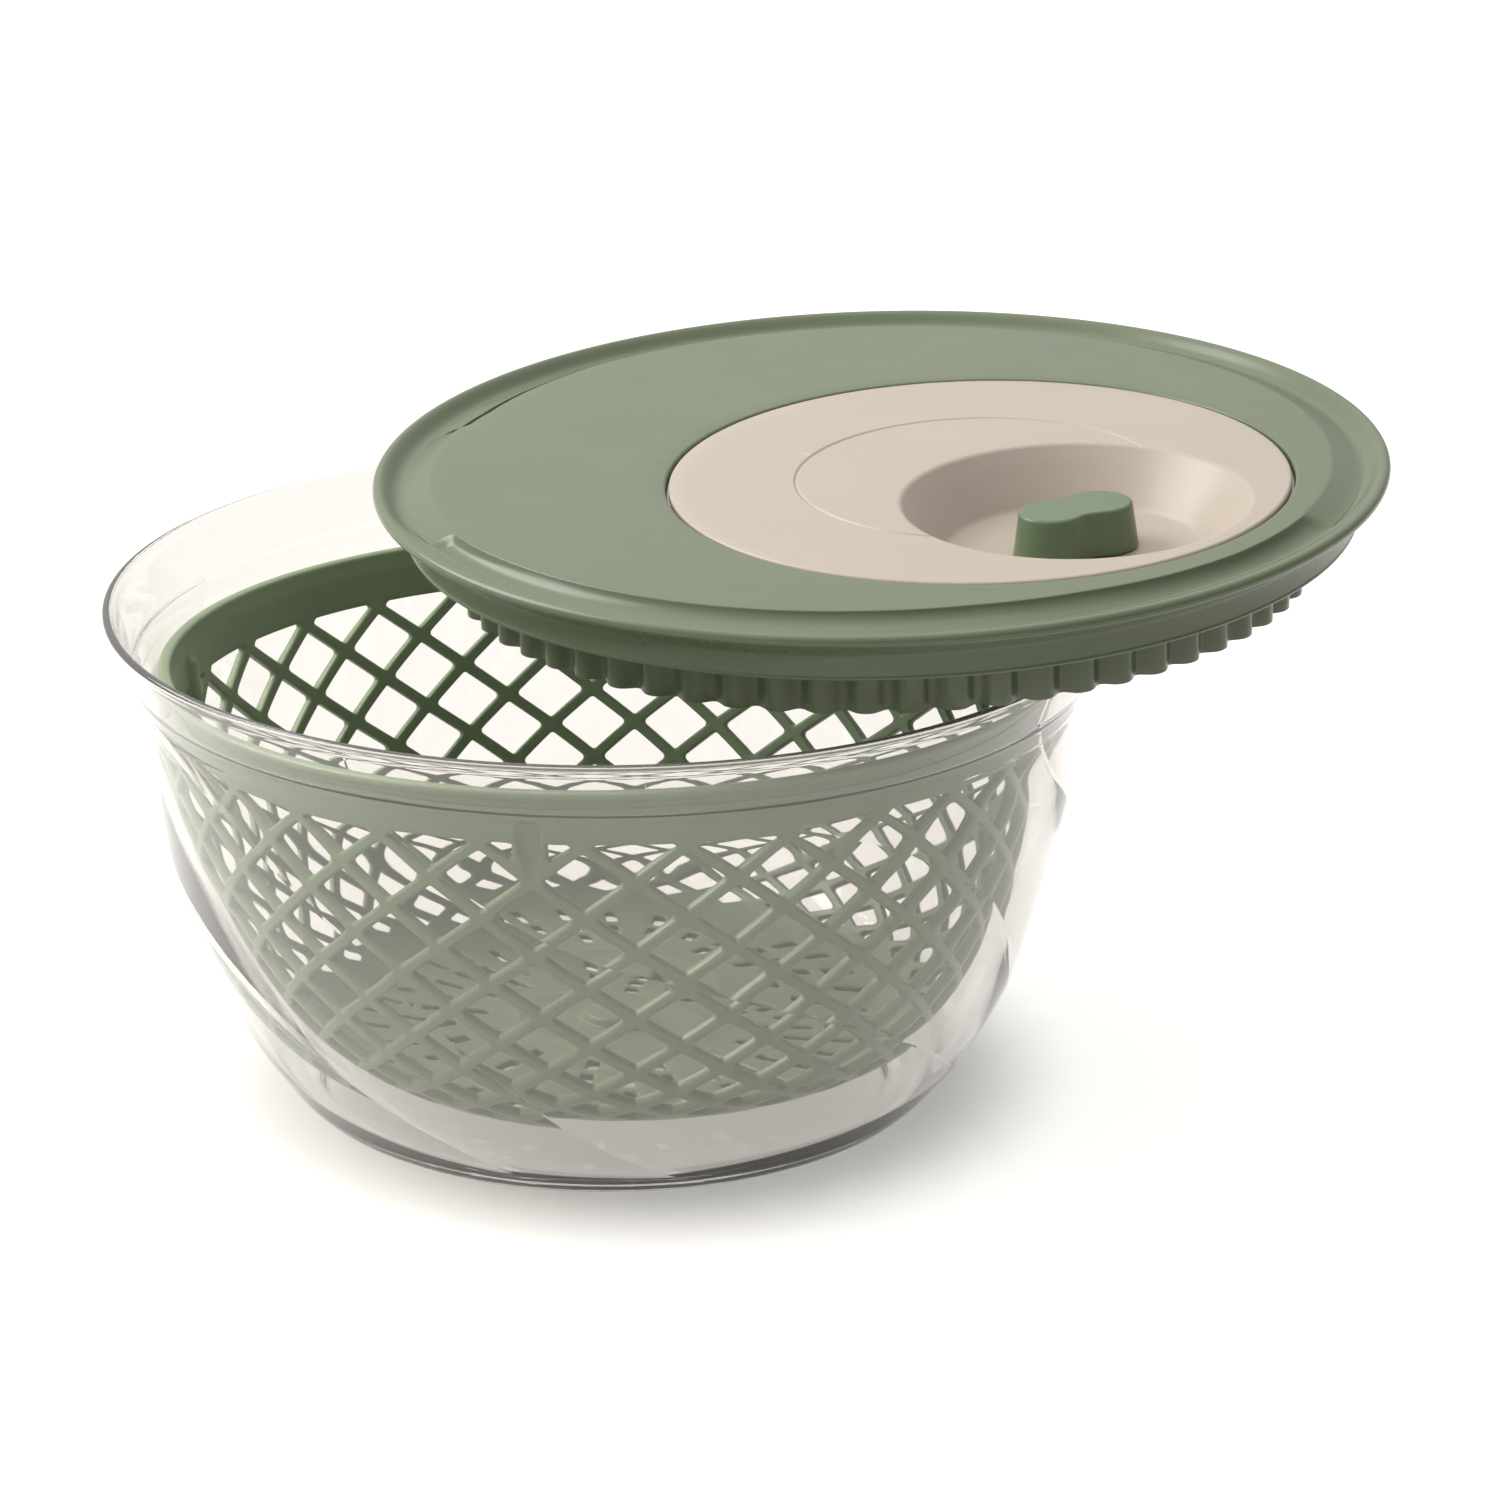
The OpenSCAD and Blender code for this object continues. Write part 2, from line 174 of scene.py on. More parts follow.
class Nodes:
    """Small helper for building a material's node tree."""

    def __init__(self, name):
        self.mat = bpy.data.materials.new(name)
        self.mat.use_nodes = True
        self.t = self.mat.node_tree
        self.t.nodes.clear()
        self.out = self.t.nodes.new("ShaderNodeOutputMaterial")
        self.coord = self.t.nodes.new("ShaderNodeTexCoord")

    def add(self, kind, **kw):
        nd = self.t.nodes.new(kind)
        for k, val in kw.items():
            if hasattr(nd, k):
                setattr(nd, k, val)
            else:
                nd.inputs[k.replace("_", " ")].default_value = val
        return nd

    def link(self, a, b):
        self.t.links.new(a, b)

    def noise(self, scale, detail=3.0, rough=0.5):
        nd = self.t.nodes.new("ShaderNodeTexNoise")
        nd.inputs["Scale"].default_value = scale
        nd.inputs["Detail"].default_value = detail
        nd.inputs["Roughness"].default_value = rough
        self.link(self.coord.outputs["Object"], nd.inputs["Vector"])
        return nd.outputs["Fac"]

    def ramp(self, fac, stops):
        nd = self.t.nodes.new("ShaderNodeValToRGB")
        e = nd.color_ramp.elements
        while len(e) < len(stops):
            e.new(0.5)
        for el, (p, c) in zip(e, stops):
            el.position = p
            el.color = (*c, 1.0)
        self.link(fac, nd.inputs["Fac"])
        return nd.outputs["Color"]

    def span(self, fac, lo, hi):
        nd = self.t.nodes.new("ShaderNodeMapRange")
        nd.inputs["To Min"].default_value = lo
        nd.inputs["To Max"].default_value = hi
        self.link(fac, nd.inputs["Value"])
        return nd.outputs["Result"]

    def bump(self, height, dist, strength=1.0, normal=None):
        nd = self.t.nodes.new("ShaderNodeBump")
        nd.inputs["Strength"].default_value = strength
        nd.inputs["Distance"].default_value = dist
        self.link(height, nd.inputs["Height"])
        if normal is not None:
            self.link(normal, nd.inputs["Normal"])
        return nd.outputs["Normal"]


def around(col, k):
    return tuple(min(1.0, c * k) for c in col)


def plastic(name, col, rough, spread=0.06, grain=0.000005, subsurface=0.0, radius=(1, 1, 1), spec=0.5):
    """Moulded plastic: faint cloudiness, fine moulded grain and slightly uneven gloss."""
    n = Nodes(name)
    b = n.t.nodes.new("ShaderNodeBsdfPrincipled")
    cloud = n.noise(22.0, 4.0, 0.55)
    n.link(n.ramp(cloud, [(0.3, around(col, 1 - spread)), (0.7, around(col, 1 + spread))]),
           b.inputs["Base Color"])
    n.link(n.span(n.noise(60.0, 3.0), rough - 0.05, rough + 0.06), b.inputs["Roughness"])
    fine = n.bump(n.noise(2600.0, 2.0, 0.6), grain, 0.6)
    n.link(n.bump(n.noise(45.0, 2.0), 0.000016, 0.4, fine), b.inputs["Normal"])
    b.inputs["IOR"].default_value = 1.49
    b.inputs["Specular IOR Level"].default_value = spec
    if subsurface:
        b.inputs["Subsurface Weight"].default_value = subsurface
        b.inputs["Subsurface Radius"].default_value = radius
        b.inputs["Subsurface Scale"].default_value = 0.0022
    n.link(b.outputs["BSDF"], n.out.inputs["Surface"])
    return n.mat


def clear_plastic(name):
    """Tinted clear plastic that lets light through to what it holds."""
    n = Nodes(name)
    b = n.t.nodes.new("ShaderNodeBsdfPrincipled")
    haze = n.noise(18.0, 4.0, 0.5)
    n.link(n.ramp(haze, [(0.3, (0.900, 0.878, 0.856)), (0.7, (0.918, 0.897, 0.876))]), b.inputs["Base Color"])
    n.link(n.span(n.noise(40.0, 2.0), 0.012, 0.03), b.inputs["Roughness"])
    n.link(n.bump(n.noise(30.0, 2.0, 0.45), 0.00004, 0.3), b.inputs["Normal"])
    b.inputs["IOR"].default_value = 1.5
    b.inputs["Transmission Weight"].default_value = 0.975
    t = n.t.nodes.new("ShaderNodeBsdfTransparent")
    t.inputs["Color"].default_value = (0.965, 0.955, 0.935, 1.0)
    lp = n.t.nodes.new("ShaderNodeLightPath")
    mix = n.t.nodes.new("ShaderNodeMixShader")
    either = n.add("ShaderNodeMath", operation="MAXIMUM")
    n.link(lp.outputs["Is Shadow Ray"], either.inputs[0])
    n.link(lp.outputs["Is Diffuse Ray"], either.inputs[1])
    n.link(either.outputs["Value"], mix.inputs["Fac"])
    n.link(b.outputs["BSDF"], mix.inputs[1])
    n.link(t.outputs["BSDF"], mix.inputs[2])
    n.link(mix.outputs["Shader"], n.out.inputs["Surface"])
    return n.mat


def metal(name, col, rough):
    """Plated steel with turned streaks."""
    n = Nodes(name)
    b = n.t.nodes.new("ShaderNodeBsdfPrincipled")
    n.link(n.ramp(n.noise(900.0, 3.0), [(0.3, around(col, 0.88)), (0.7, col)]), b.inputs["Base Color"])
    n.link(n.span(n.noise(700.0, 2.0), rough, rough + 0.15), b.inputs["Roughness"])
    n.link(n.bump(n.noise(3000.0, 2.0), 0.00001, 0.5), b.inputs["Normal"])
    b.inputs["Metallic"].default_value = 1.0
    n.link(b.outputs["BSDF"], n.out.inputs["Surface"])
    return n.mat


SAGE = plastic("sage_plastic", (0.107, 0.136, 0.076), 0.28, 0.03, spec=0.42)
SAGE_DEEP = plastic("knob_plastic", (0.108, 0.152, 0.085), 0.27, 0.04, spec=0.32)
GREEN = plastic("basket_plastic", (0.192, 0.248, 0.145), 0.36, 0.05, subsurface=0.35, radius=(1.0, 1.3, 0.6))
BEIGE = plastic("beige_plastic", (0.390, 0.335, 0.278), 0.38, 0.02)
ACETAL = plastic("white_acetal", (0.780, 0.775, 0.745), 0.45, 0.04)
STEEL = metal("screw_steel", (0.60, 0.60, 0.61), 0.30)
CLEAR = clear_plastic("clear_plastic")

# ---------------------------------------------------------------- bowl

BOWL_T = 2.2
BOWL_OUT = [(84, 0), (91, 3), (98, 10.5), (105.5, 21), (113.5, 37), (121, 59), (127, 84), (130.5, 108),
            (132, 119), (134.5, 128), (139, 140.3)]
# Azimuth of the two families of swirling ridges against height
SWIRL_1 = [(0, -67), (6, -74), (11, -81), (21, -89.5), (29, -95), (37, -99.5), (51, -107), (61, -111),
           (71, -116), (82, -121), (92, -128), (107, -138.5), (117, -149), (124, -159), (130, -170)]
SWIRL_2 = [(0, -6), (10, -15), (25, -30), (39, -42), (53, -55), (65, -67), (77, -81), (82, -88), (91, -97),
           (107, -108.5), (119, -114), (130, -118)]
RIDGES = [(SWIRL_2, -90), (SWIRL_1, 0), (SWIRL_2, 0), (SWIRL_1, 85), (SWIRL_2, 86), (SWIRL_1, 176),
          (SWIRL_2, 177), (SWIRL_1, 268)]
FACET_STEPS = 26


def swirl(table, z):
    return float(np.interp(z, [p[0] for p in table], [p[1] for p in table]))


def bowl_ring(r, z, depth_scale):
    """One ring of the outer wall: flat-ish facets that meet in crisp ridges."""
    az = [swirl(t, z) + off for t, off in RIDGES]
    az.append(az[0] + 360)
    row = []
    for a, b in zip(az, az[1:]):
        depth = depth_scale * 1.35 * ((b - a) / 60.0) ** 1.3
        depth = min(depth, 1.5 * depth_scale)
        for i in range(FACET_STEPS):
            s = i / FACET_STEPS
            q = r - depth * 4 * s * (1 - s)
            t = radians(a + (b - a) * s)
            row.append((q * cos(t), q * sin(t), z))
    return row


def on_ridge(edge):
    """True if an edge of the outer wall runs along one of the ridges."""
    pts = [v.co * 1000 for v in edge.verts]
    if abs(pts[0].z - pts[1].z) < 0.1:
        return False
    for table, off in RIDGES:
        gap = [(degrees(atan2(p.y, p.x)) - swirl(table, p.z) - off + 180) % 360 - 180 for p in pts]
        if max(abs(g) for g in gap) < 0.02:
            return True
    return False


def make_bowl():
    sh = Shape()
    n = FACET_STEPS * len(RIDGES)
    outer = [p for p in curve_through(BOWL_OUT, 7)]
    rows = []
    # underside: shallow recess inside a foot ring
    for r, z in [(70.0, 1.2), (76.5, 1.2), (78.0, 1.0), (79.2, 0.4), (80.2, 0.08), (81.5, 0.0), (83.2, 0.05)]:
        rows.append(bowl_ring(r, z, 0.0))
    for r, z in outer[1:]:
        env = min(1.0, max(0.0, (z - 1.0) / 14.0)) * min(1.0, max(0.0, (131.0 - z) / 9.0))
        env = env * env * (3 - 2 * env)
        rows.append(bowl_ring(r, z, env))
    for r, z in arc(138.75, 142.0, 1.25, -12, 150, 8):
        rows.append(bowl_ring(min(r, 140.0), min(z, 143.3), 0.0))
    inner_pts = [(137.3, 141.6), (136.6, 139.0), (134.6, 133.6), (132.7, 128.6), (131.9, 127.4),
                 (131.3, 126.6), (130.4, 122.5)]
    inner_pts += [(r - BOWL_T, z + 0.8) for r, z in BOWL_OUT[8:1:-1] if z < 120]
    inner_pts += [(90.0, 6.3), (84.0, 4.0), (80.0, 3.6)]
    for r, z in curve_through(inner_pts, 5):
        rows.append(bowl_ring(r, z, 0.0))
    for r, z in [(60.0, 3.6), (30.0, 3.6), (7.2, 3.6), (6.3, 3.8), (6.0, 4.4), (5.9, 7.4), (5.5, 8.0),
                 (2.9, 8.0), (2.55, 7.7), (2.55, 1.5)]:
        rows.append(bowl_ring(r, z, 0.0))
    ids = sh.strip(rows)
    sh.fan(ids[-1], (0, 0, 1.5))
    sh.fan(ids[0], (0, 0, 1.2))
    ob = build("bowl_clear", sh, Matrix.Identity(4), sharp=180)
    # the ridges are sharp edges wherever the facets meet at an angle
    bm = bmesh.new()
    bm.from_mesh(ob.data)
    for e in bm.edges:
        if len(e.link_faces) == 2:
            bend = e.calc_face_angle(0.0)
            e.smooth = not (bend > radians(40) or (bend > radians(1.2) and on_ridge(e)))
    bm.to_mesh(ob.data)
    bm.free()
    return finish_piece(ob, CLEAR, "bowl_body", "bowl")


# ---------------------------------------------------------------- basket

COLS = 28
HALF = 180.0 / COLS
POST_DIR = -98.3
WALL = [(123.4, 122.6), (122.8, 113), (121.6, 104), (120, 93), (117.8, 81), (115.3, 70.5), (112, 60),
        (108.8, 50), (105, 41), (100.5, 33), (95, 26), (89, 20.5), (82, 16.2)]
STRUT = 3.4
WALL_T = 3.0


class BasketSkin:
    """Maps (azimuth, distance along the profile, depth) to points of the basket's wall and floor."""

    def __init__(self):
        fine = curve_through(WALL + [(75, 14.2), (68, 14), (54, 14), (36, 14), (20, 14), (9.5, 14)], 24)
        p = np.array(fine)
        d = np.hypot(*np.diff(p, axis=0).T)
        self.s = np.concatenate([[0], np.cumsum(d)])
        self.r, self.z = p[:, 0], p[:, 1]
        tr, tz = np.gradient(self.r, self.s), np.gradient(self.z, self.s)
        ln = np.hypot(tr, tz)
        self.nr, self.nz = -tz / ln, tr / ln      # outward normal, for a curve that runs down and in

    def at_z(self, z):
        k = int(np.argmin(np.where(self.z > 14.3, np.abs(self.z - z), 1e9)))
        return float(self.s[k])

    def at_r(self, r):
        k = int(np.argmin(np.where(self.z < 17, np.abs(self.r - r), 1e9)))
        return float(self.s[k])

    def radius(self, s):
        return float(np.interp(s, self.s, self.r))

    def points(self, uvt):
        a = np.array(uvt, float)
        th, s, t = np.radians(a[:, 0]), a[:, 1], a[:, 2]
        r, z = np.interp(s, self.s, self.r), np.interp(s, self.s, self.z)
        nr, nz = np.interp(s, self.s, self.nr), np.interp(s, self.s, self.nz)
        thin = np.where(r < 78, 2.6 / WALL_T, 1.0)
        return th, r - nr * t * thin, z - nz * t * thin


SKIN = BasketSkin()


def level_table():
    """Heights of the rows of strut crossings, as in the CAD: they close up as the wall narrows."""
    up = WALL[::-1]

    def seg(z):
        up2 = [(75, 14)] + up
        for a, b in zip(up2, up2[1:]):
            if b[1] > z:
                return a, b
        return up2[-2], up2[-1]

    def rad(z):
        a, b = seg(z)
        return a[0] + (b[0] - a[0]) * (z - a[1]) / (b[1] - a[1])

    def lean(z):
        a, b = seg(z)
        return atan2(b[0] - a[0], b[1] - a[1])

    out = {0: 98.3}
    z = 98.3
    for k in range(1, 11):
        z = z - 0.8 * pi * rad(z) / COLS * cos(lean(z - 5))
        out[k] = z
    z = 98.3
    z = z + 0.8 * pi * rad(z) / COLS * cos(lean(z + 5))
    out[-1] = z
    return out


def round_outline(corners, counts, rho):
    """A rounded polygon as one point list: side i has counts[i] steps, its ends bent round the corners."""
    n = len(corners)
    sides = []
    arcs = []
    for i in range(n):
        p, c, q = (np.array(corners[k % n], float) for k in (i - 1, i, i + 1))
        u, w = p - c, q - c
        lu, lw = np.linalg.norm(u), np.linalg.norm(w)
        u, w = u / lu, w / lw
        half = 0.5 * math.acos(max(-1.0, min(1.0, float(u @ w))))
        rr = rho[i] if isinstance(rho, (list, tuple)) else rho
        tl = min(rr / tan(half), 0.45 * min(lu, lw))
        rr = tl * tan(half)
        mid = (u + w) / np.linalg.norm(u + w)
        centre = c + mid * (rr / sin(half))
        a0, a1 = c + u * tl, c + w * tl

        def on_arc(f, a0=a0, a1=a1, centre=centre, rr=rr):
            v0, v1 = a0 - centre, a1 - centre
            g = math.acos(max(-1.0, min(1.0, float(v0 @ v1) / rr / rr)))
            if g < 1e-6:
                return a0
            return centre + (v0 * sin((1 - f) * g) + v1 * sin(f * g)) / sin(g)

        arcs.append(on_arc)
    for i in range(n):
        m = counts[i]
        a, b = arcs[i], arcs[(i + 1) % n]
        k = 2 if m >= 6 else 1
        pts = [a(0.5 + 0.5 * j / k) for j in range(k)]
        p0, p1 = a(1.0), b(0.0)
        straight = m - 2 * k
        pts += [p0 + (p1 - p0) * j / straight for j in range(straight)]
        pts += [b(0.5 * j / k) for j in range(k)]
        sides.extend(pts)
    return [tuple(p) for p in sides]


RINGS = [(1.05, 0.0), (0.72, 0.06), (0.42, 0.28), (0.18, 0.56), (0.02, 0.95), (0.0, 2.45), (0.16, 2.78),
         (0.5, 3.0)]


class Basket:
    def __init__(self):
        self.uvt = []
        self.faces = []

    def cell(self, q, o, flats=()):
        """Faces from the outline q to the opening o on both sides, and through the wall, in (azimuth, s)."""
        n = len(q)
        rows = []
        dist = []
        for a, b in zip(q, o):
            r = SKIN.radius((a[1] + b[1]) / 2)
            dist.append(max(0.2, hypot(radians(a[0] - b[0]) * r, a[1] - b[1])))

        def row(fracs, t):
            rows.append([(a[0] + (b[0] - a[0]) * f, a[1] + (b[1] - a[1]) * f, t)
                         for a, b, f in zip(q, o, fracs)])

        row([0.0] * n, 0.0)
        for f in flats:
            row([f] * n, 0.0)
        for d, t in RINGS:
            row([1 - min(0.5, d / ds) for ds in dist], t)
        for f in reversed(flats):
            row([f] * n, WALL_T)
        row([0.0] * n, WALL_T)
        self.sweep(rows, True)

    def sweep(self, rows, closed):
        base = len(self.uvt)
        n = len(rows[0])
        for r in rows:
            self.uvt.extend(r)
        m = n if closed else n - 1
        for k in range(len(rows) - 1):
            for i in range(m):
                j = (i + 1) % n
                self.faces.append((base + k * n + i, base + k * n + j, base + (k + 1) * n + j,
                                   base + (k + 1) * n + i))


def edge(a, b, n):
    """n steps from a, without b."""
    return [(a[0] + (b[0] - a[0]) * i / n, a[1] + (b[1] - a[1]) * i / n) for i in range(n)]


POST_X = [13.6, 10.5, 8.2, 6.2, 5.0, 4.2, 3.6, 3.2, 2.7, 2.1, 1.5, 0.75, 0.0]


def post_shift(th_deg, z):
    """How far the wall is pushed in by a drive post's half-round pocket."""
    best = 1e9
    for i in range(4):
        d = (th_deg - (POST_DIR + 90 * i) + 180) % 360 - 180
        if abs(d) < abs(best):
            best = d
    x = abs(radians(best)) * 122.0
    half = 3.3
    if z > 118.6:
        return 0.0
    if z > 116.2:
        half *= sqrt(max(0.0, 1 - ((z - 116.2) / 2.4) ** 2))
    if z < 108.0:
        half *= max(0.0, (z - 99.0) / 9.0) ** 0.7
    if x >= half or half < 0.2:
        return 0.0
    return 1.9 * min(1.0, half / 3.0) * sqrt(1 - (x / half) ** 2)


def make_basket():
    bk = Basket()
    lev = level_table()
    s_of = {k: SKIN.at_z(z) for k, z in lev.items()}
    m = 8
    # diamond openings
    for k in range(0, 10):
        sc, su, sd = s_of[k], s_of[k - 1], s_of[k + 1]
        a = radians(HALF) * SKIN.radius(sc)
        bu, bd = sc - su, sd - sc
        b = (bu + bd) / 2
        d = STRUT * 0.49
        scale = 1 - d * hypot(a, b) / (a * b)
        ax, ay_u, ay_d = a * scale, bu * scale, bd * scale
        o_loc = round_outline([(0, -ay_d), (ax, 0), (0, ay_u), (-ax, 0)], [m] * 4, 1.15)
        for j in range(COLS):
            tc = POST_DIR + (j + (0.5 if k % 2 == 0 else 0.0)) * 2 * HALF
            q = (edge((tc, sd), (tc + HALF, sc), m) + edge((tc + HALF, sc), (tc, su), m)
                 + edge((tc, su), (tc - HALF, sc), m) + edge((tc - HALF, sc), (tc, sd), m))
            o = [(tc + HALF * x / a, sc - y) for x, y in o_loc]
            bk.cell(q, o, (0.3,))
    # cut-off openings under the band, and the posts
    s0, s1 = s_of[0], s_of[-1]
    s_top = SKIN.at_z(112.6)
    r1 = SKIN.radius(s1)
    a = radians(HALF) * r1
    b = s0 - s1
    u = s1 - s_top
    half_w = a - STRUT * 0.72
    bot = b - STRUT * 0.62
    columns = []
    for j in range(COLS):
        tc = POST_DIR + j * 2 * HALF
        tl, tr = tc - HALF, tc + HALF
        if j % 7 != 0:
            o_loc = round_outline([(0, -bot), (half_w, -0.1), (half_w - 1.4, 1.1), (-half_w + 1.4, 1.1),
                                   (-half_w, -0.1)], [m, 5, 16, 5, m], [1.15, 0.6, 1.0, 1.0, 0.6])
            q = (edge((tc, s0), (tr, s1), m) + edge((tr, s1), (tr, s_top), 5)
                 + edge((tr, s_top), (tl, s_top), 16) + edge((tl, s_top), (tl, s1), 5)
                 + edge((tl, s1), (tc, s0), m))
            bk.cell(q, [(tc + degrees(x / r1), s1 - y) for x, y in o_loc], (0.3,))
            columns += [tl + 2 * HALF * i / 16 for i in range(16)]
        else:
            x0 = 4.7
            low = -bot * (1 - x0 / half_w)
            xs = [tc + HALF * x / 13.6 for x in POST_X]
            for side in (1, -1):
                corners = [(x0, low), (half_w - 0.2, -0.1), (half_w - 1.6, 1.1), (x0, 1.1)]
                counts = [m, 5, 12, 8]
                top = [(x, s_top) for x in xs[:-1]]
                q = (edge((tc, s0), (tr, s1), m) + edge((tr, s1), (tr, s_top), 5) + top
                     + edge((tc, s_top), (tc, s0), 8))
                o_loc = round_outline(corners, counts, 0.7)
                o = [(tc + side * degrees(x / r1), s1 - y) for x, y in o_loc]
                if side == -1:
                    q = [(2 * tc - t, s) for t, s in q][::-1]
                    o = o[::-1]
                bk.cell(q, o, (0.16, 0.32, 0.46, 0.58, 0.66, 0.71))
            left = [2 * tc - x for x in xs]
            columns += left[:-1]
            columns += xs[::-1][:-1]
    columns = sorted(columns)
    # band and rim bead: outer wall with fine grooves, bead, inner wall
    grooves = [(113.6, 0), (114.5, 0), (115.4, 0), (116.3, 0), (117.0, 0.0), (117.3, 0.16), (117.7, 0.16),
               (118.0, 0.0), (118.8, 0), (119.9, 0.0), (120.1, 0.22), (120.5, 0.22), (120.7, 0.0),
               (121.9, 0.0)]
    rows = [[(t, s_top, 0.0) for t in columns]]
    for z, d in grooves:
        rows.append([(t, SKIN.at_z(z), d) for t in columns])
    bk.sweep(rows, True)
    inner_rows = [[(t, SKIN.at_z(z), WALL_T) for t in columns]
                  for z in (120.0, 118.6, 117.6, 116.6, 115.6, 114.6, 113.6)]
    inner_rows.append([(t, s_top, WALL_T) for t in columns])
    bk.sweep(inner_rows, True)
    # from the lattice down to the floor's edge
    s_f = SKIN.at_r(74.6)
    for j in range(COLS):
        tc = POST_DIR + j * 2 * HALF
        for t_end in (tc - HALF, tc + HALF):
            top = [(tc + (t_end - tc) * i / m, s_of[10] + (s_of[9] - s_of[10]) * i / m) for i in range(m + 1)]
            for t in (0.0, WALL_T):
                rws = [[(th, s + (s_f - s) * f, t) for th, s in top] for f in (0, 0.5, 1)]
                bk.sweep(rws, False)
    # rings of slots in the floor
    rings = [(74.6, 60.4, 67.0, 10.0, 1), (60.4, 48.0, 54.0, 9.0, 1), (48.0, 35.5, 42.0, 8.0, 2)]
    for r_hi, r_lo, r_c, length, span in rings:
        s_hi, s_lo, s_c = SKIN.at_r(r_hi), SKIN.at_r(r_lo), SKIN.at_r(r_c)
        for j in range(0, COLS, span):
            tc = POST_DIR + j * 2 * HALF
            w = HALF * span
            nn = 16 * span
            q = (edge((tc - w, s_lo), (tc + w, s_lo), nn) + edge((tc + w, s_lo), (tc + w, s_hi), 7)
                 + edge((tc + w, s_hi), (tc - w, s_hi), nn) + edge((tc - w, s_hi), (tc - w, s_lo), 7))
            o_loc = round_outline([(-1.8, -length / 2), (1.8, -length / 2), (1.8, length / 2),
                                   (-1.8, length / 2)], [nn, 7, nn, 7], 1.2)
            o = [(tc + degrees(x / (r_c + y)), s_c - y) for x, y in o_loc]
            bk.cell(q, o, (0.4,))
    ring_cols = [POST_DIR + 2 * HALF * (j - 0.5) + 2 * HALF * i / 16 for j in range(COLS) for i in range(16)]
    th, r, z = SKIN.points(bk.uvt)
    shift = np.zeros(len(r))
    near = (z > 98.5) & (z < 119)
    for i in np.nonzero(near)[0]:
        shift[i] = post_shift(degrees(th[i]), z[i])
    r = r - shift
    sh = Shape()
    sh.v = list(zip((r * np.cos(th)).tolist(), (r * np.sin(th)).tolist(), z.tolist()))
    sh.f = list(bk.faces)
    # rim bead, between the outer and the inner wall of the band
    def on_skin(zz, t):
        _, rr, z2 = SKIN.points([(0.0, SKIN.at_z(zz), t)])
        return float(rr[0]), float(z2[0])
    bead = [on_skin(121.9, 0.0), (123.6, 122.35), (124.2, 122.5), (124.7, 122.85), (124.97, 123.35),
            (125.0, 123.9), (124.88, 124.4), (124.5, 124.8), (123.9, 125.0), (122.9, 125.0),
            (122.2, 124.95), (121.75, 124.7), (121.5, 124.2), (121.3, 123.2), (120.9, 121.6),
            on_skin(120.0, WALL_T)]
    sh.strip([[(rr * cos(radians(t)), rr * sin(radians(t)), zz) for t in columns] for rr, zz in bead])
    # middle of the floor and the hub, underside then top
    def ring(rr, zz):
        return [(rr * cos(radians(t)), rr * sin(radians(t)), zz) for t in ring_cols]
    s_in = SKIN.at_r(35.5)
    _, ru, zu = SKIN.points([(0.0, s_in, 0.0)])
    _, rt, zt = SKIN.points([(0.0, s_in, WALL_T)])
    under = [(float(ru[0]), float(zu[0])), (28.0, 14.0), (20.0, 14.0), (10.6, 14.0), (9.8, 13.8),
             (9.5, 13.2), (9.5, 10.0), (9.2, 9.6), (7.3, 9.6), (7.0, 9.9), (7.0, 18.5)]
    ids = sh.strip([ring(*p) for p in under])
    sh.fan(ids[-1], (0, 0, 18.5))
    over = [(float(rt[0]), float(zt[0])), (30.0, 16.6), (29.0, 16.9), (27.6, 16.9), (26.6, 16.6),
            (18.0, 16.6), (11.0, 16.6), (10.0, 16.8), (9.5, 17.4), (9.3, 19.2), (8.7, 19.8), (7.8, 20.0),
            (3.0, 20.0)]
    ids = sh.strip([ring(*p) for p in over])
    sh.fan(ids[-1], (0, 0, 20.0))
    ob = build("basket_lattice", sh, BASKET, sharp=50, weld=0.02)
    return finish_piece(ob, GREEN, "basket_body", "basket")


# ---------------------------------------------------------------- lid

def circle(cx, cy, r, z, n):
    return [(cx + r * cos(2 * pi * i / n), cy + r * sin(2 * pi * i / n), z) for i in range(n)]


def ruled(a, b, steps):
    """Rows from ring a to ring b, both included."""
    rows = []
    for k in range(steps + 1):
        f = k / steps
        rows.append([tuple(p[j] + (q[j] - p[j]) * f for j in range(3)) for p, q in zip(a, b)])
    return rows


LID_N = 640
DX, DY = DISC_OFF * cos(radians(DISC_DIR)), DISC_OFF * sin(radians(DISC_DIR))
SEAT_R = 86.2
DISC_R = 85.35
# Plateau's edge: azimuth, radius, then the shares of the front pocket's profile, of the back pocket's
# and of the front lip's
PLATEAU = [(-180, 125.0, 0, 0, 0), (-165, 125.0, 0, 0, 0), (-157.2, 125.6, 0, 0, 0.5),
           (-156, 126.0, 0.9, 0, 0.6), (-152, 125.7, 1, 0, 0.85), (-143, 124.3, 1, 0, 1),
           (-136, 123.4, 1, 0, 1), (-116, 121.6, 1, 0, 1), (-95, 119.9, 1, 0, 1), (-80, 119.5, 1, 0, 1),
           (-66, 120.8, 1, 0, 1), (-56, 122.8, 1, 0, 1), (-43, 124.7, 1, 0, 1), (-33, 125.2, 1, 0, 0.8),
           (-27.5, 125.3, 0.9, 0, 0.5), (-26, 125.0, 0.1, 0, 0.45), (-24, 125.0, 0, 0, 0.35),
           (-8, 125.0, 0, 0, 0), (118, 125.0, 0, 0, 0), (126, 124.8, 0, 0.15, 0), (129, 124.9, 0, 0.6, 0),
           (136, 124.2, 0, 1, 0), (144, 123.7, 0, 1, 0), (154, 122.9, 0, 1, 0), (160, 123.6, 0, 1, 0),
           (161.6, 125.4, 0, 0.8, 0), (162.6, 125.2, 0, 0, 0), (180, 125.0, 0, 0, 0)]
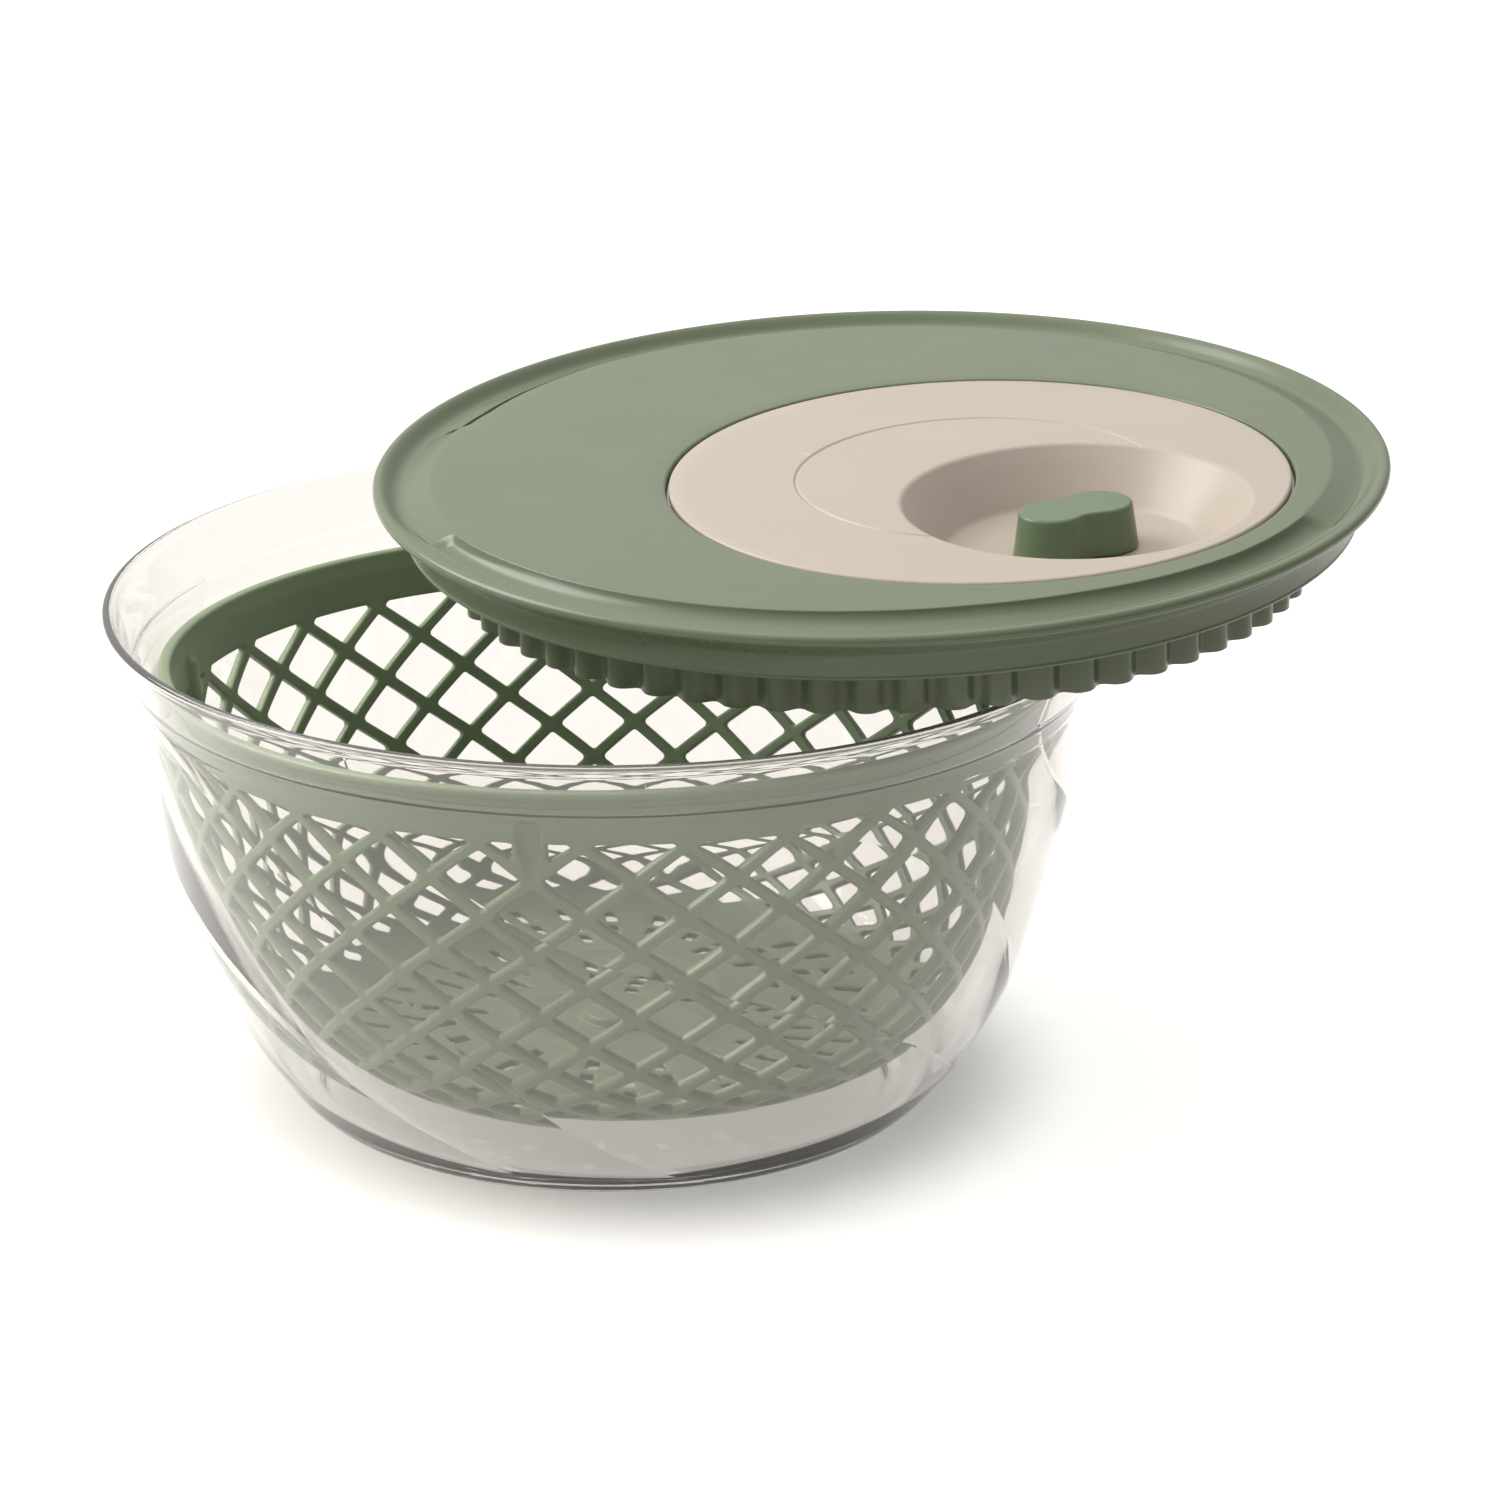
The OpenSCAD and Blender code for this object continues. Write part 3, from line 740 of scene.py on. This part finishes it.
SOFT = [(-1.2, 0.8), (-0.6, 0.78), (-0.1, 0.68), (0.35, 0.48), (0.9, 0.24), (1.9, -0.16), (3.2, -0.7),
        (4.6, -1.28), (6.0, -1.82), (7.1, -2.16), (8.0, -2.3)]
FRONT = [(-0.55, 0.8), (-0.25, 0.77), (-0.07, 0.68), (0.02, 0.52), (0.14, 0.2), (0.5, -0.5), (1.3, -1.35),
         (2.8, -2.2), (5.0, -2.8), (7.4, -3.06), (9.6, -3.1)]
BACK = [(-0.5, 0.8), (-0.22, 0.77), (-0.06, 0.68), (0.02, 0.5), (0.08, -0.6), (0.3, -2.1), (1.75, -2.2),
        (2.1, -1.3), (2.25, -0.35), (3.2, -0.62), (8.0, -2.3)]
UNDER = [(-0.8, -5.6), (-1.7, -5.3), (-2.15, -4.7), (-2.4, -2.3), (-2.7, -1.6), (-3.3, -1.4)]
LIP_SIDE = [(133.0, -2.3), (134.0, -2.15), (134.8, -1.75), (135.4, -1.3), (136.0, -0.75), (136.5, -0.25),
            (137.0, 0.2), (137.3, 0.45), (137.6, 0.68), (137.9, 0.85), (138.1, 0.95), (138.2, 1.0),
            (138.35, 1.08), (138.5, 1.12)]
LIP_FRONT = [(131.6, -3.0), (132.6, -2.4), (133.3, -1.2), (133.7, -0.1), (133.95, 0.5), (134.3, 0.80),
             (134.8, 0.66), (135.3, 0.45), (135.9, 0.60), (136.4, 0.98), (136.8, 1.00), (137.2, 0.84),
             (137.6, 1.02), (138.5, 1.15)]


def plateau(i, n):
    az = 360.0 * i / n
    az = az - 360 if az > 180 else az
    x = [p[0] for p in PLATEAU]
    return [float(np.interp(az, x, [p[k] for p in PLATEAU])) for k in (1, 2, 3, 4)]


def mix(a, b, f):
    return a + (b - a) * f


def make_lid():
    sh = Shape()
    n = LID_N
    edges = [plateau(i, n) for i in range(n)]

    def lid_ring(point):
        return [(r * cos(2 * pi * i / n), r * sin(2 * pi * i / n), z)
                for i, (r, z) in enumerate(point(*e) for e in edges)]

    def top_point(k):
        def point(e, front, back, lip):
            valley = mix(133.0, 131.6, lip)
            out = []
            for table, end in ((SOFT, 8.0), (BACK, 8.0), (FRONT, 10.4)):
                dr, z = table[k]
                if dr > 0.5:
                    dr *= (valley - e) / end
                out.append((e + dr, z))
            r, z = (mix(out[0][j], out[1][j], back) for j in (0, 1))
            return mix(r, out[2][0], front), mix(z, out[2][1], front)
        return point

    def lip_point(k):
        return lambda e, f, b, lip: tuple(mix(LIP_SIDE[k][j], LIP_FRONT[k][j], lip) for j in (0, 1))

    rim = (arc(139.0, -0.45, 1.6, 78, -40, 9)
           + [(139.6, -1.85), (138.2, -2.35), (136.4, -3.4), (134.4, -4.9), (133.2, -5.9), (132.65, -6.5),
              (132.4, -7.3), (132.2, -9.6), (132.02, -12.4), (132.05, -12.7), (132.2, -12.95), (132.2, -13.3),
              (132.0, -13.62), (131.6, -13.8), (130.5, -13.8), (130.1, -13.6), (129.95, -13.2),
              (130.05, -7.0), (129.6, -6.4), (128.6, -6.1)])
    start = lid_ring(top_point(0))
    seat = [(DX + (SEAT_R + 0.8) * cos(a), DY + (SEAT_R + 0.8) * sin(a), TOP_Z)
            for a in (2 * pi * i / n for i in range(n))]
    rows = ruled(seat, start, 12)
    for k in range(1, len(SOFT)):
        rows.append(lid_ring(top_point(k)))
    for k in range(len(LIP_SIDE)):
        ring = lid_ring(lip_point(k))
        rows.append([tuple(mix(p[j], q[j], 0.5) for j in range(3))
                     for p, q in zip(rows[-1], ring)] if k == 0 else ring)
    rim.insert(0, (0, 0))
    for r, z in rim[1:]:
        rows.append(circle(0, 0, r, z, n))
    for dr, z in UNDER:
        rows.append(lid_ring(lambda e, f, b, lip, dr=dr, z=z: (e + dr, z)))
    rows += ruled(rows[-1], circle(DX, DY, SEAT_R + 2.2, -1.4, n), 8)[1:]
    for r, z in [(SEAT_R + 2.0, -1.6), (SEAT_R + 2.0, -4.0), (SEAT_R + 1.8, -4.2), (79.9, -4.2),
                 (79.7, -4.0), (79.7, -2.2), (79.9, -2.0), (SEAT_R - 0.1, -2.0), (SEAT_R, -1.9),
                 (SEAT_R, 0.2), (SEAT_R + 0.1, 0.45), (SEAT_R + 0.35, 0.7)]:
        rows.append(circle(DX, DY, r, z, n))
    rows.append(rows[0])
    sh.strip(rows)
    for i in range(5):
        a = radians(DISC_DIR + 62 + 59 * i)
        sh.tube(4.0, 1.5, -17.5, -1.2, 40, (100 * cos(a), 100 * sin(a)))
    ob = build("lid_shell_top", sh, LID, sharp=38)
    return finish_piece(ob, SAGE, "lid_body", "lid_shell")


# ---------------------------------------------------------------- crank disc

CUP_R = 48.5
CUP_FLOOR = -14.2


def make_disc():
    sh = Shape()
    n = 320
    cx, cy = CUP_OFF * cos(radians(CUP_DIR)), CUP_OFF * sin(radians(CUP_DIR))
    mouth = [(CUP_R - 2.4 * sin(radians(t)), TOP_Z - 2.4 * (1 - cos(radians(t))))
             for t in (0, 7, 14, 21, 28, 35, 42, 49, 56)]
    cup = mouth + [(44.9, -1.9), (43.2, -4.0), (40.2, -7.8), (37.5, -11.3), (36.5, -12.7), (36.0, -13.4),
                   (35.4, -13.9), (34.6, CUP_FLOOR), (26.0, CUP_FLOOR), (10.0, CUP_FLOOR),
                   (6.2, CUP_FLOOR + 0.1), (5.6, CUP_FLOOR + 0.6), (5.6, -4.8), (5.3, -4.5), (3.0, -4.5),
                   (2.8, -4.7), (2.8, -9.5), (4.1, -9.5), (4.1, -15.7), (35.3, -15.7), (36.6, -15.0),
                   (38.0, -12.8), (42.2, -7.2), (45.2, -3.3), (46.3, -2.0), (47.2, -1.55), (48.0, -1.45)]
    rows = ruled(circle(0, 0, DISC_R - 0.75, TOP_Z, n), circle(cx, cy, mouth[0][0], TOP_Z, n), 14)
    for r, z in cup[1:]:
        rows.append(circle(cx, cy, r, z, n))
    rows += ruled(rows[-1], circle(0, 0, DISC_R - 0.2, -1.45, n), 8)[1:]
    for r, z in [(DISC_R, -1.3), (DISC_R, 0.0), (DISC_R - 0.06, 0.25), (DISC_R - 0.24, 0.52),
                 (DISC_R - 0.46, 0.7)]:
        rows.append(circle(0, 0, r, z, n))
    rows.append(rows[0])
    sh.strip(rows)
    ob = build("crank_disc_top", sh, DISC, sharp=38)
    tool = Shape()
    tool.revolve([(49.6, 2.0), (49.7, TOP_Z), (50.1, TOP_Z - 0.38), (50.5, TOP_Z - 0.42), (51.1, TOP_Z),
                  (51.2, 2.0), (49.6, 2.0)], 360)
    cutter = build("groove_cutter", tool, DISC)
    mod = ob.modifiers.new("groove", "BOOLEAN")
    mod.operation = "DIFFERENCE"
    mod.solver = "EXACT"
    mod.object = cutter
    dg = bpy.context.evaluated_depsgraph_get()
    cut = bpy.data.meshes.new_from_object(ob.evaluated_get(dg))
    ob.modifiers.remove(mod)
    ob.data = cut
    bpy.data.objects.remove(cutter)
    # journal skirt, wall that carries the ring gear, screw bosses
    extra = Shape()
    extra.tube(79.65, 78.6, -4.6, -1.44, 192)
    steps = 96
    section = [(51.6, -15.7), (51.6, -1.44), (49.6, -1.44), (49.6, -15.7)]
    a0, a1 = radians(CUP_DIR + 67), radians(CUP_DIR + 293)
    loops = [[(r * cos(a), r * sin(a), z) for r, z in section]
             for a in (a0 + (a1 - a0) * i / steps for i in range(steps + 1))]
    ids = extra.strip(loops)
    extra.f.append(tuple(ids[0]))
    extra.f.append(tuple(reversed(ids[-1])))
    for k in range(4):
        a = radians(CUP_DIR + 90 + 60 * k)
        extra.tube(3.2, 1.25, -15.7, -1.44, 32, (56 * cos(a), 56 * sin(a)), 0.1)
    under = build("crank_disc_under", extra, DISC, sharp=38)
    bm = bmesh.new()
    bm.from_mesh(ob.data)
    bm.from_mesh(under.data)
    shade(bm, 21)
    bm.to_mesh(ob.data)
    bm.free()
    bpy.data.objects.remove(under)
    return finish_piece(ob, BEIGE, "crank_body", "crank_disc")


# ---------------------------------------------------------------- knob

def bean(length, width, n=30):
    """Outline of the grip: two round ends, and a hollow on each side that starts at a crease and runs out."""
    c = (length - width) / 2
    re = width / 2
    t0, t1 = radians(25), radians(-12)
    half = []
    for i in range(n + 1):
        t = radians(-90) + (t0 + radians(90)) * i / n
        half.append((-c + re * sin(t), -re * cos(t)))
    p0, p1 = half[-1], (c + re * sin(t1), -re * cos(t1))
    d0, d1 = (10.0, 4.6), (9.8, -2.1)
    for i in range(1, n + 1):
        t = i / n
        h = (2 * t ** 3 - 3 * t * t + 1, t ** 3 - 2 * t * t + t, -2 * t ** 3 + 3 * t * t, t ** 3 - t * t)
        half.append(tuple(h[0] * p0[j] + h[1] * d0[j] + h[2] * p1[j] + h[3] * d1[j] for j in (0, 1)))
    for i in range(1, n):
        t = t1 + (radians(90) - t1) * i / n
        half.append((c + re * sin(t), -re * cos(t)))
    return half + [(-x, -y) for x, y in half]


def make_knob():
    L, W, H, BOT = 36.5, 20.2, 12.6, -13.8
    sh = Shape()
    base = bean(L, W)

    def loop(inset, f, z):
        k = 1 - 0.1 * f
        sx, sy = k - inset / (L / 2), k - inset / (W / 2)
        return [(x * sx, y * sy, z) for x, y in base]

    rows = [loop(0.4, 0.0, BOT), loop(0.1, 0.0, BOT + 0.15), loop(0.0, 0.02, BOT + 0.45)]
    fil = 0.95
    for i in range(1, 7):
        f = i / 7 * (H - fil) / H
        rows.append(loop(0.0, f, BOT + f * H))
    for i in range(9):
        t = radians(90 * i / 8)
        rows.append(loop(fil * (1 - cos(t)), (H - fil + fil * sin(t)) / H, BOT + H - fil + fil * sin(t)))
    top = rows[-1]
    for f in (0.97, 0.8, 0.5, 0.25):
        rows.append([(x * f, y * f, z) for x, y, z in top])
    ids = sh.strip(rows)
    sh.fan(ids[-1], (0, 0, top[0][2]))
    inner = [(x * (L - 4) / L, y * (W - 3.6) / W) for x, y in base]
    irows = [[(x * (1 - 0.08 * f), y * (1 - 0.08 * f), BOT + f * (H - 1.9))
              for x, y in inner] for f in (0, 0.5, 1)]
    iids = sh.strip(irows)
    sh.fan(iids[-1], (0, 0, BOT + H - 1.9))
    sh.strip([rows[0], irows[0]])
    turned = turn("Z", 28)
    sh.v = [tuple(turned @ Vector(p)) for p in sh.v]
    sh.revolve([(0, -9.7), (2.5, -9.7), (2.75, -9.4), (2.75, -3.0), (0, -3.0)], 40)
    ob = build("knob_grip", sh, CUP, sharp=40)
    return finish_piece(ob, SAGE_DEEP, "knob_body", "knob")


# ---------------------------------------------------------------- rotor

def make_rotor():
    sh = Shape()
    lobes, n = 64, 64 * 16
    top, bot = -8.0, -27.6

    def wave(i):
        p = 2 * pi * i / n * lobes
        return 119.0 + 1.5 * (cos(p) - 0.16 * cos(2 * p))

    def ring(fr, z):
        out = []
        for i in range(n):
            a = 2 * pi * i / n + radians(2.2)
            r = fr(i)
            out.append((r * cos(a), r * sin(a), z))
        return out

    rows = [ring(lambda i: 116.5, top), ring(lambda i: wave(i) - 0.4, top),
            ring(lambda i: wave(i) - 0.1, top - 0.1), ring(wave, top - 0.4)]
    for k in range(1, 8):
        rows.append(ring(wave, top - 0.4 + (bot + 0.7 - top + 0.4) * k / 8))
    rows += [ring(wave, bot + 0.5), ring(lambda i: wave(i) - 0.08, bot + 0.22),
             ring(lambda i: wave(i) - 0.3, bot + 0.04), ring(lambda i: wave(i) - 0.6, bot),
             ring(lambda i: 116.5, bot), ring(lambda i: 116.4, bot + 0.1), ring(lambda i: 116.3, bot + 0.4)]
    for r, z in [(116.3, -26.6), (116.2, -26.5), (60.0, -26.5), (8.0, -26.5), (3.4, -26.5), (3.4, -24.5),
                 (1.6, -24.5), (1.6, -17.3), (1.8, -17.1), (6.8, -17.1), (7.0, -17.3), (7.0, -24.6),
                 (7.2, -24.7), (60.0, -24.7), (116.2, -24.7), (116.3, -24.6), (116.3, top - 0.4),
                 (116.4, top - 0.1)]:
        rows.append(ring(lambda i, r=r: r, z))
    rows.append(rows[0])
    sh.strip(rows)
    for k in range(8):
        a = radians(45 * k)
        u, v = (cos(a), sin(a)), (-sin(a), cos(a))
        sec = [(-0.8, -26.4), (-0.8, -27.3), (-0.6, -27.5), (0.6, -27.5), (0.8, -27.3), (0.8, -26.4)]
        ends = [[(u[0] * d + v[0] * x, u[1] * d + v[1] * x, z) for x, z in sec] for d in (12.0, 116.0)]
        ids = sh.strip(ends)
        sh.f.append(tuple(ids[0]))
        sh.f.append(tuple(reversed(ids[-1])))
    ob = build("rotor_ring", sh, LID, sharp=38)
    return finish_piece(ob, SAGE, "rotor_body", "rotor")


# ---------------------------------------------------------------- build

make_bowl()
make_basket()
make_lid()
make_disc()
make_knob()
make_rotor()

CAD_FINISH = {
    "pivot_pin": STEEL, "basket_bush": ACETAL, "lid_base": SAGE, "lid_screws": STEEL,
    "rotor_bush": ACETAL, "glide_ring": ACETAL, "ring_gear": ACETAL, "gear_screws": STEEL,
    "disc_retainer": ACETAL, "knob_washer": STEEL, "knob_screw": STEEL, "pinion": ACETAL,
    "thrust_washer": ACETAL, "rotor_screw": STEEL,
}
for name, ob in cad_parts.items():
    mat = CAD_FINISH.get(name, {"bowl": CLEAR, "basket": GREEN, "crank_disc": BEIGE,
                                "knob": SAGE_DEEP}.get(name, SAGE))
    ob.data.materials.clear()
    ob.data.materials.append(mat)

# ---------------------------------------------------------------- stage, light and camera

floor_mesh = bpy.data.meshes.new("floor")
steps = [-4.0 + 8.0 * i / 16 for i in range(17)]
floor_pts = [(x, y, 0.0) for y in steps for x in steps]
floor_faces = [(j * 17 + i, j * 17 + i + 1, (j + 1) * 17 + i + 1,
                (j + 1) * 17 + i) for j in range(16) for i in range(16)]
floor_mesh.from_pydata(floor_pts, [], floor_faces)
floor = bpy.data.objects.new("floor", floor_mesh)
scene.collection.objects.link(floor)
fn = Nodes("floor_painted_shadow_and_light")
fb = fn.t.nodes.new("ShaderNodeBsdfPrincipled")
fn.link(fn.ramp(fn.noise(3.0, 2.0), [(0.3, (0.500, 0.490, 0.475)), (0.7, (0.515, 0.505, 0.490))]),
        fb.inputs["Base Color"])
fb.inputs["Roughness"].default_value = 0.9
fb.inputs["Specular IOR Level"].default_value = 0.1
fb.inputs["Emission Color"].default_value = (1.0, 0.985, 0.965, 1.0)
# painted shadow: the floor's own glow is weaker close to the bowl, which paints a short shadow round the base
f_coord = fn.add("ShaderNodeTexCoord")
f_far = fn.add("ShaderNodeVectorMath", operation="LENGTH")
fn.link(f_coord.outputs["Object"], f_far.inputs[0])
# painted shadow: glow strength grows with distance from the bowl
f_glow_painted_shadow = fn.add("ShaderNodeMapRange", interpolation_type="SMOOTHSTEP")
for f_key, f_val in (("From Min", 0.088), ("From Max", 0.138), ("To Min", 0.27), ("To Max", 0.72)):
    f_glow_painted_shadow.inputs[f_key].default_value = f_val
fn.link(f_far.outputs["Value"], f_glow_painted_shadow.inputs["Value"])
fn.link(f_glow_painted_shadow.outputs["Result"], fb.inputs["Emission Strength"])
# the object is lit by a plain grey floor; seen through clear plastic the floor glows brighter, painted light
# in place of the light the plastic would bend onto it
fd = fn.add("ShaderNodeBsdfDiffuse")
fn.link(fn.ramp(fn.noise(3.0, 2.0), [(0.3, (0.43, 0.42, 0.405)), (0.7, (0.45, 0.44, 0.425))]),
        fd.inputs["Color"])
fp = fn.add("ShaderNodeLightPath")
fm = fn.add("ShaderNodeMixShader")
fe = fn.add("ShaderNodeEmission")
fn.link(fn.ramp(fn.noise(3.0, 2.0), [(0.3, (0.99, 0.975, 0.95)), (0.7, (1.0, 0.985, 0.965))]),
        fe.inputs["Color"])
fe.inputs["Strength"].default_value = 0.88
ft = fn.add("ShaderNodeMixShader")
# painted light: for rays through clear plastic, half of the floor's shading is swapped for a plain glow
painted_light_through_plastic = fn.add("ShaderNodeMath", operation="MULTIPLY")
painted_light_through_plastic.inputs[1].default_value = 0.5
fn.link(fp.outputs["Is Transmission Ray"], painted_light_through_plastic.inputs[0])
fn.link(painted_light_through_plastic.outputs["Value"], ft.inputs["Fac"])
fn.link(fb.outputs["BSDF"], ft.inputs[1])
fn.link(fe.outputs["Emission"], ft.inputs[2])
fn.link(fp.outputs["Is Diffuse Ray"], fm.inputs["Fac"])
fn.link(ft.outputs["Shader"], fm.inputs[1])
fn.link(fd.outputs["BSDF"], fm.inputs[2])
fn.link(fm.outputs["Shader"], fn.out.inputs["Surface"])
floor.data.materials.append(fn.mat)

world = bpy.data.worlds.new("studio")
world.use_nodes = True
scene.world = world
wt = world.node_tree
wt.nodes.clear()


def wnode(kind, **kw):
    nd = wt.nodes.new(kind)
    for k, val in kw.items():
        setattr(nd, k, val)
    return nd


# A soft studio: bright behind, above and to the left, darker to the right and in front
toward = Vector((-0.34, 0.22, 0.91)).normalized()
w_coord = wnode("ShaderNodeTexCoord")
w_dot = wnode("ShaderNodeVectorMath", operation="DOT_PRODUCT")
w_dot.inputs[1].default_value = toward
wt.links.new(w_coord.outputs["Generated"], w_dot.inputs[0])
w_range = wnode("ShaderNodeMapRange")
w_range.inputs["From Min"].default_value = -1.0
wt.links.new(w_dot.outputs["Value"], w_range.inputs["Value"])
w_ramp = wnode("ShaderNodeValToRGB")
w_ramp.color_ramp.interpolation = "B_SPLINE"
stops = [(0.0, 0.08), (0.35, 0.12), (0.5, 0.28), (0.7, 0.62), (0.85, 0.9), (1.0, 1.0)]
els = w_ramp.color_ramp.elements
while len(els) < len(stops):
    els.new(0.5)
for el, (pos, v) in zip(els, stops):
    el.position = pos
    el.color = (v, v * 0.985, v * 0.965, 1.0)
wt.links.new(w_range.outputs["Result"], w_ramp.inputs["Fac"])
w_soft = wnode("ShaderNodeBackground")
w_soft.inputs["Strength"].default_value = 1.3
wt.links.new(w_ramp.outputs["Color"], w_soft.inputs["Color"])
w_white = wnode("ShaderNodeBackground")
w_white.inputs["Color"].default_value = (1.0, 1.0, 1.0, 1.0)
w_white.inputs["Strength"].default_value = 1.1
w_path = wnode("ShaderNodeLightPath")
w_mix = wnode("ShaderNodeMixShader")
w_out = wnode("ShaderNodeOutputWorld")
wt.links.new(w_path.outputs["Is Camera Ray"], w_mix.inputs["Fac"])
wt.links.new(w_soft.outputs["Background"], w_mix.inputs[1])
wt.links.new(w_white.outputs["Background"], w_mix.inputs[2])
wt.links.new(w_mix.outputs["Shader"], w_out.inputs["Surface"])


def area(name, place, target, size, power, colour=(1, 1, 1)):
    data = bpy.data.lights.new(name, "AREA")
    data.shape = "RECTANGLE"
    data.size, data.size_y = size
    data.energy = power
    data.color = colour
    ob = bpy.data.objects.new(name, data)
    ob.location = place
    ob.rotation_euler = (Vector(target) - Vector(place)).to_track_quat("-Z", "Y").to_euler()
    scene.collection.objects.link(ob)
    return ob


area("key", (-0.5, 0.9, 2.2), (0.05, 0.0, 0.1), (1.8, 1.8), 9.0, (1.0, 0.98, 0.95))
area("side", (-1.2, 0.3, 1.1), (0.05, 0.0, 0.15), (1.1, 1.0), 24.0, (1.0, 0.985, 0.96))

cam_data = bpy.data.cameras.new("camera")
cam_data.lens = 120.0
cam_data.sensor_width = 36.0
cam_data.clip_end = 50.0
cam = bpy.data.objects.new("camera", cam_data)
cam.location = (0.0382, -1.3115, 0.5798)
cam.rotation_euler = (radians(90 - 20.24), 0.0, 0.0)
scene.collection.objects.link(cam)
scene.camera = cam

scene.view_settings.view_transform = "Standard"
scene.view_settings.look = "None"
scene.cycles.max_bounces = 16
scene.cycles.transmission_bounces = 14
scene.cycles.transparent_max_bounces = 16
scene.cycles.caustics_refractive = False
scene.cycles.caustics_reflective = False
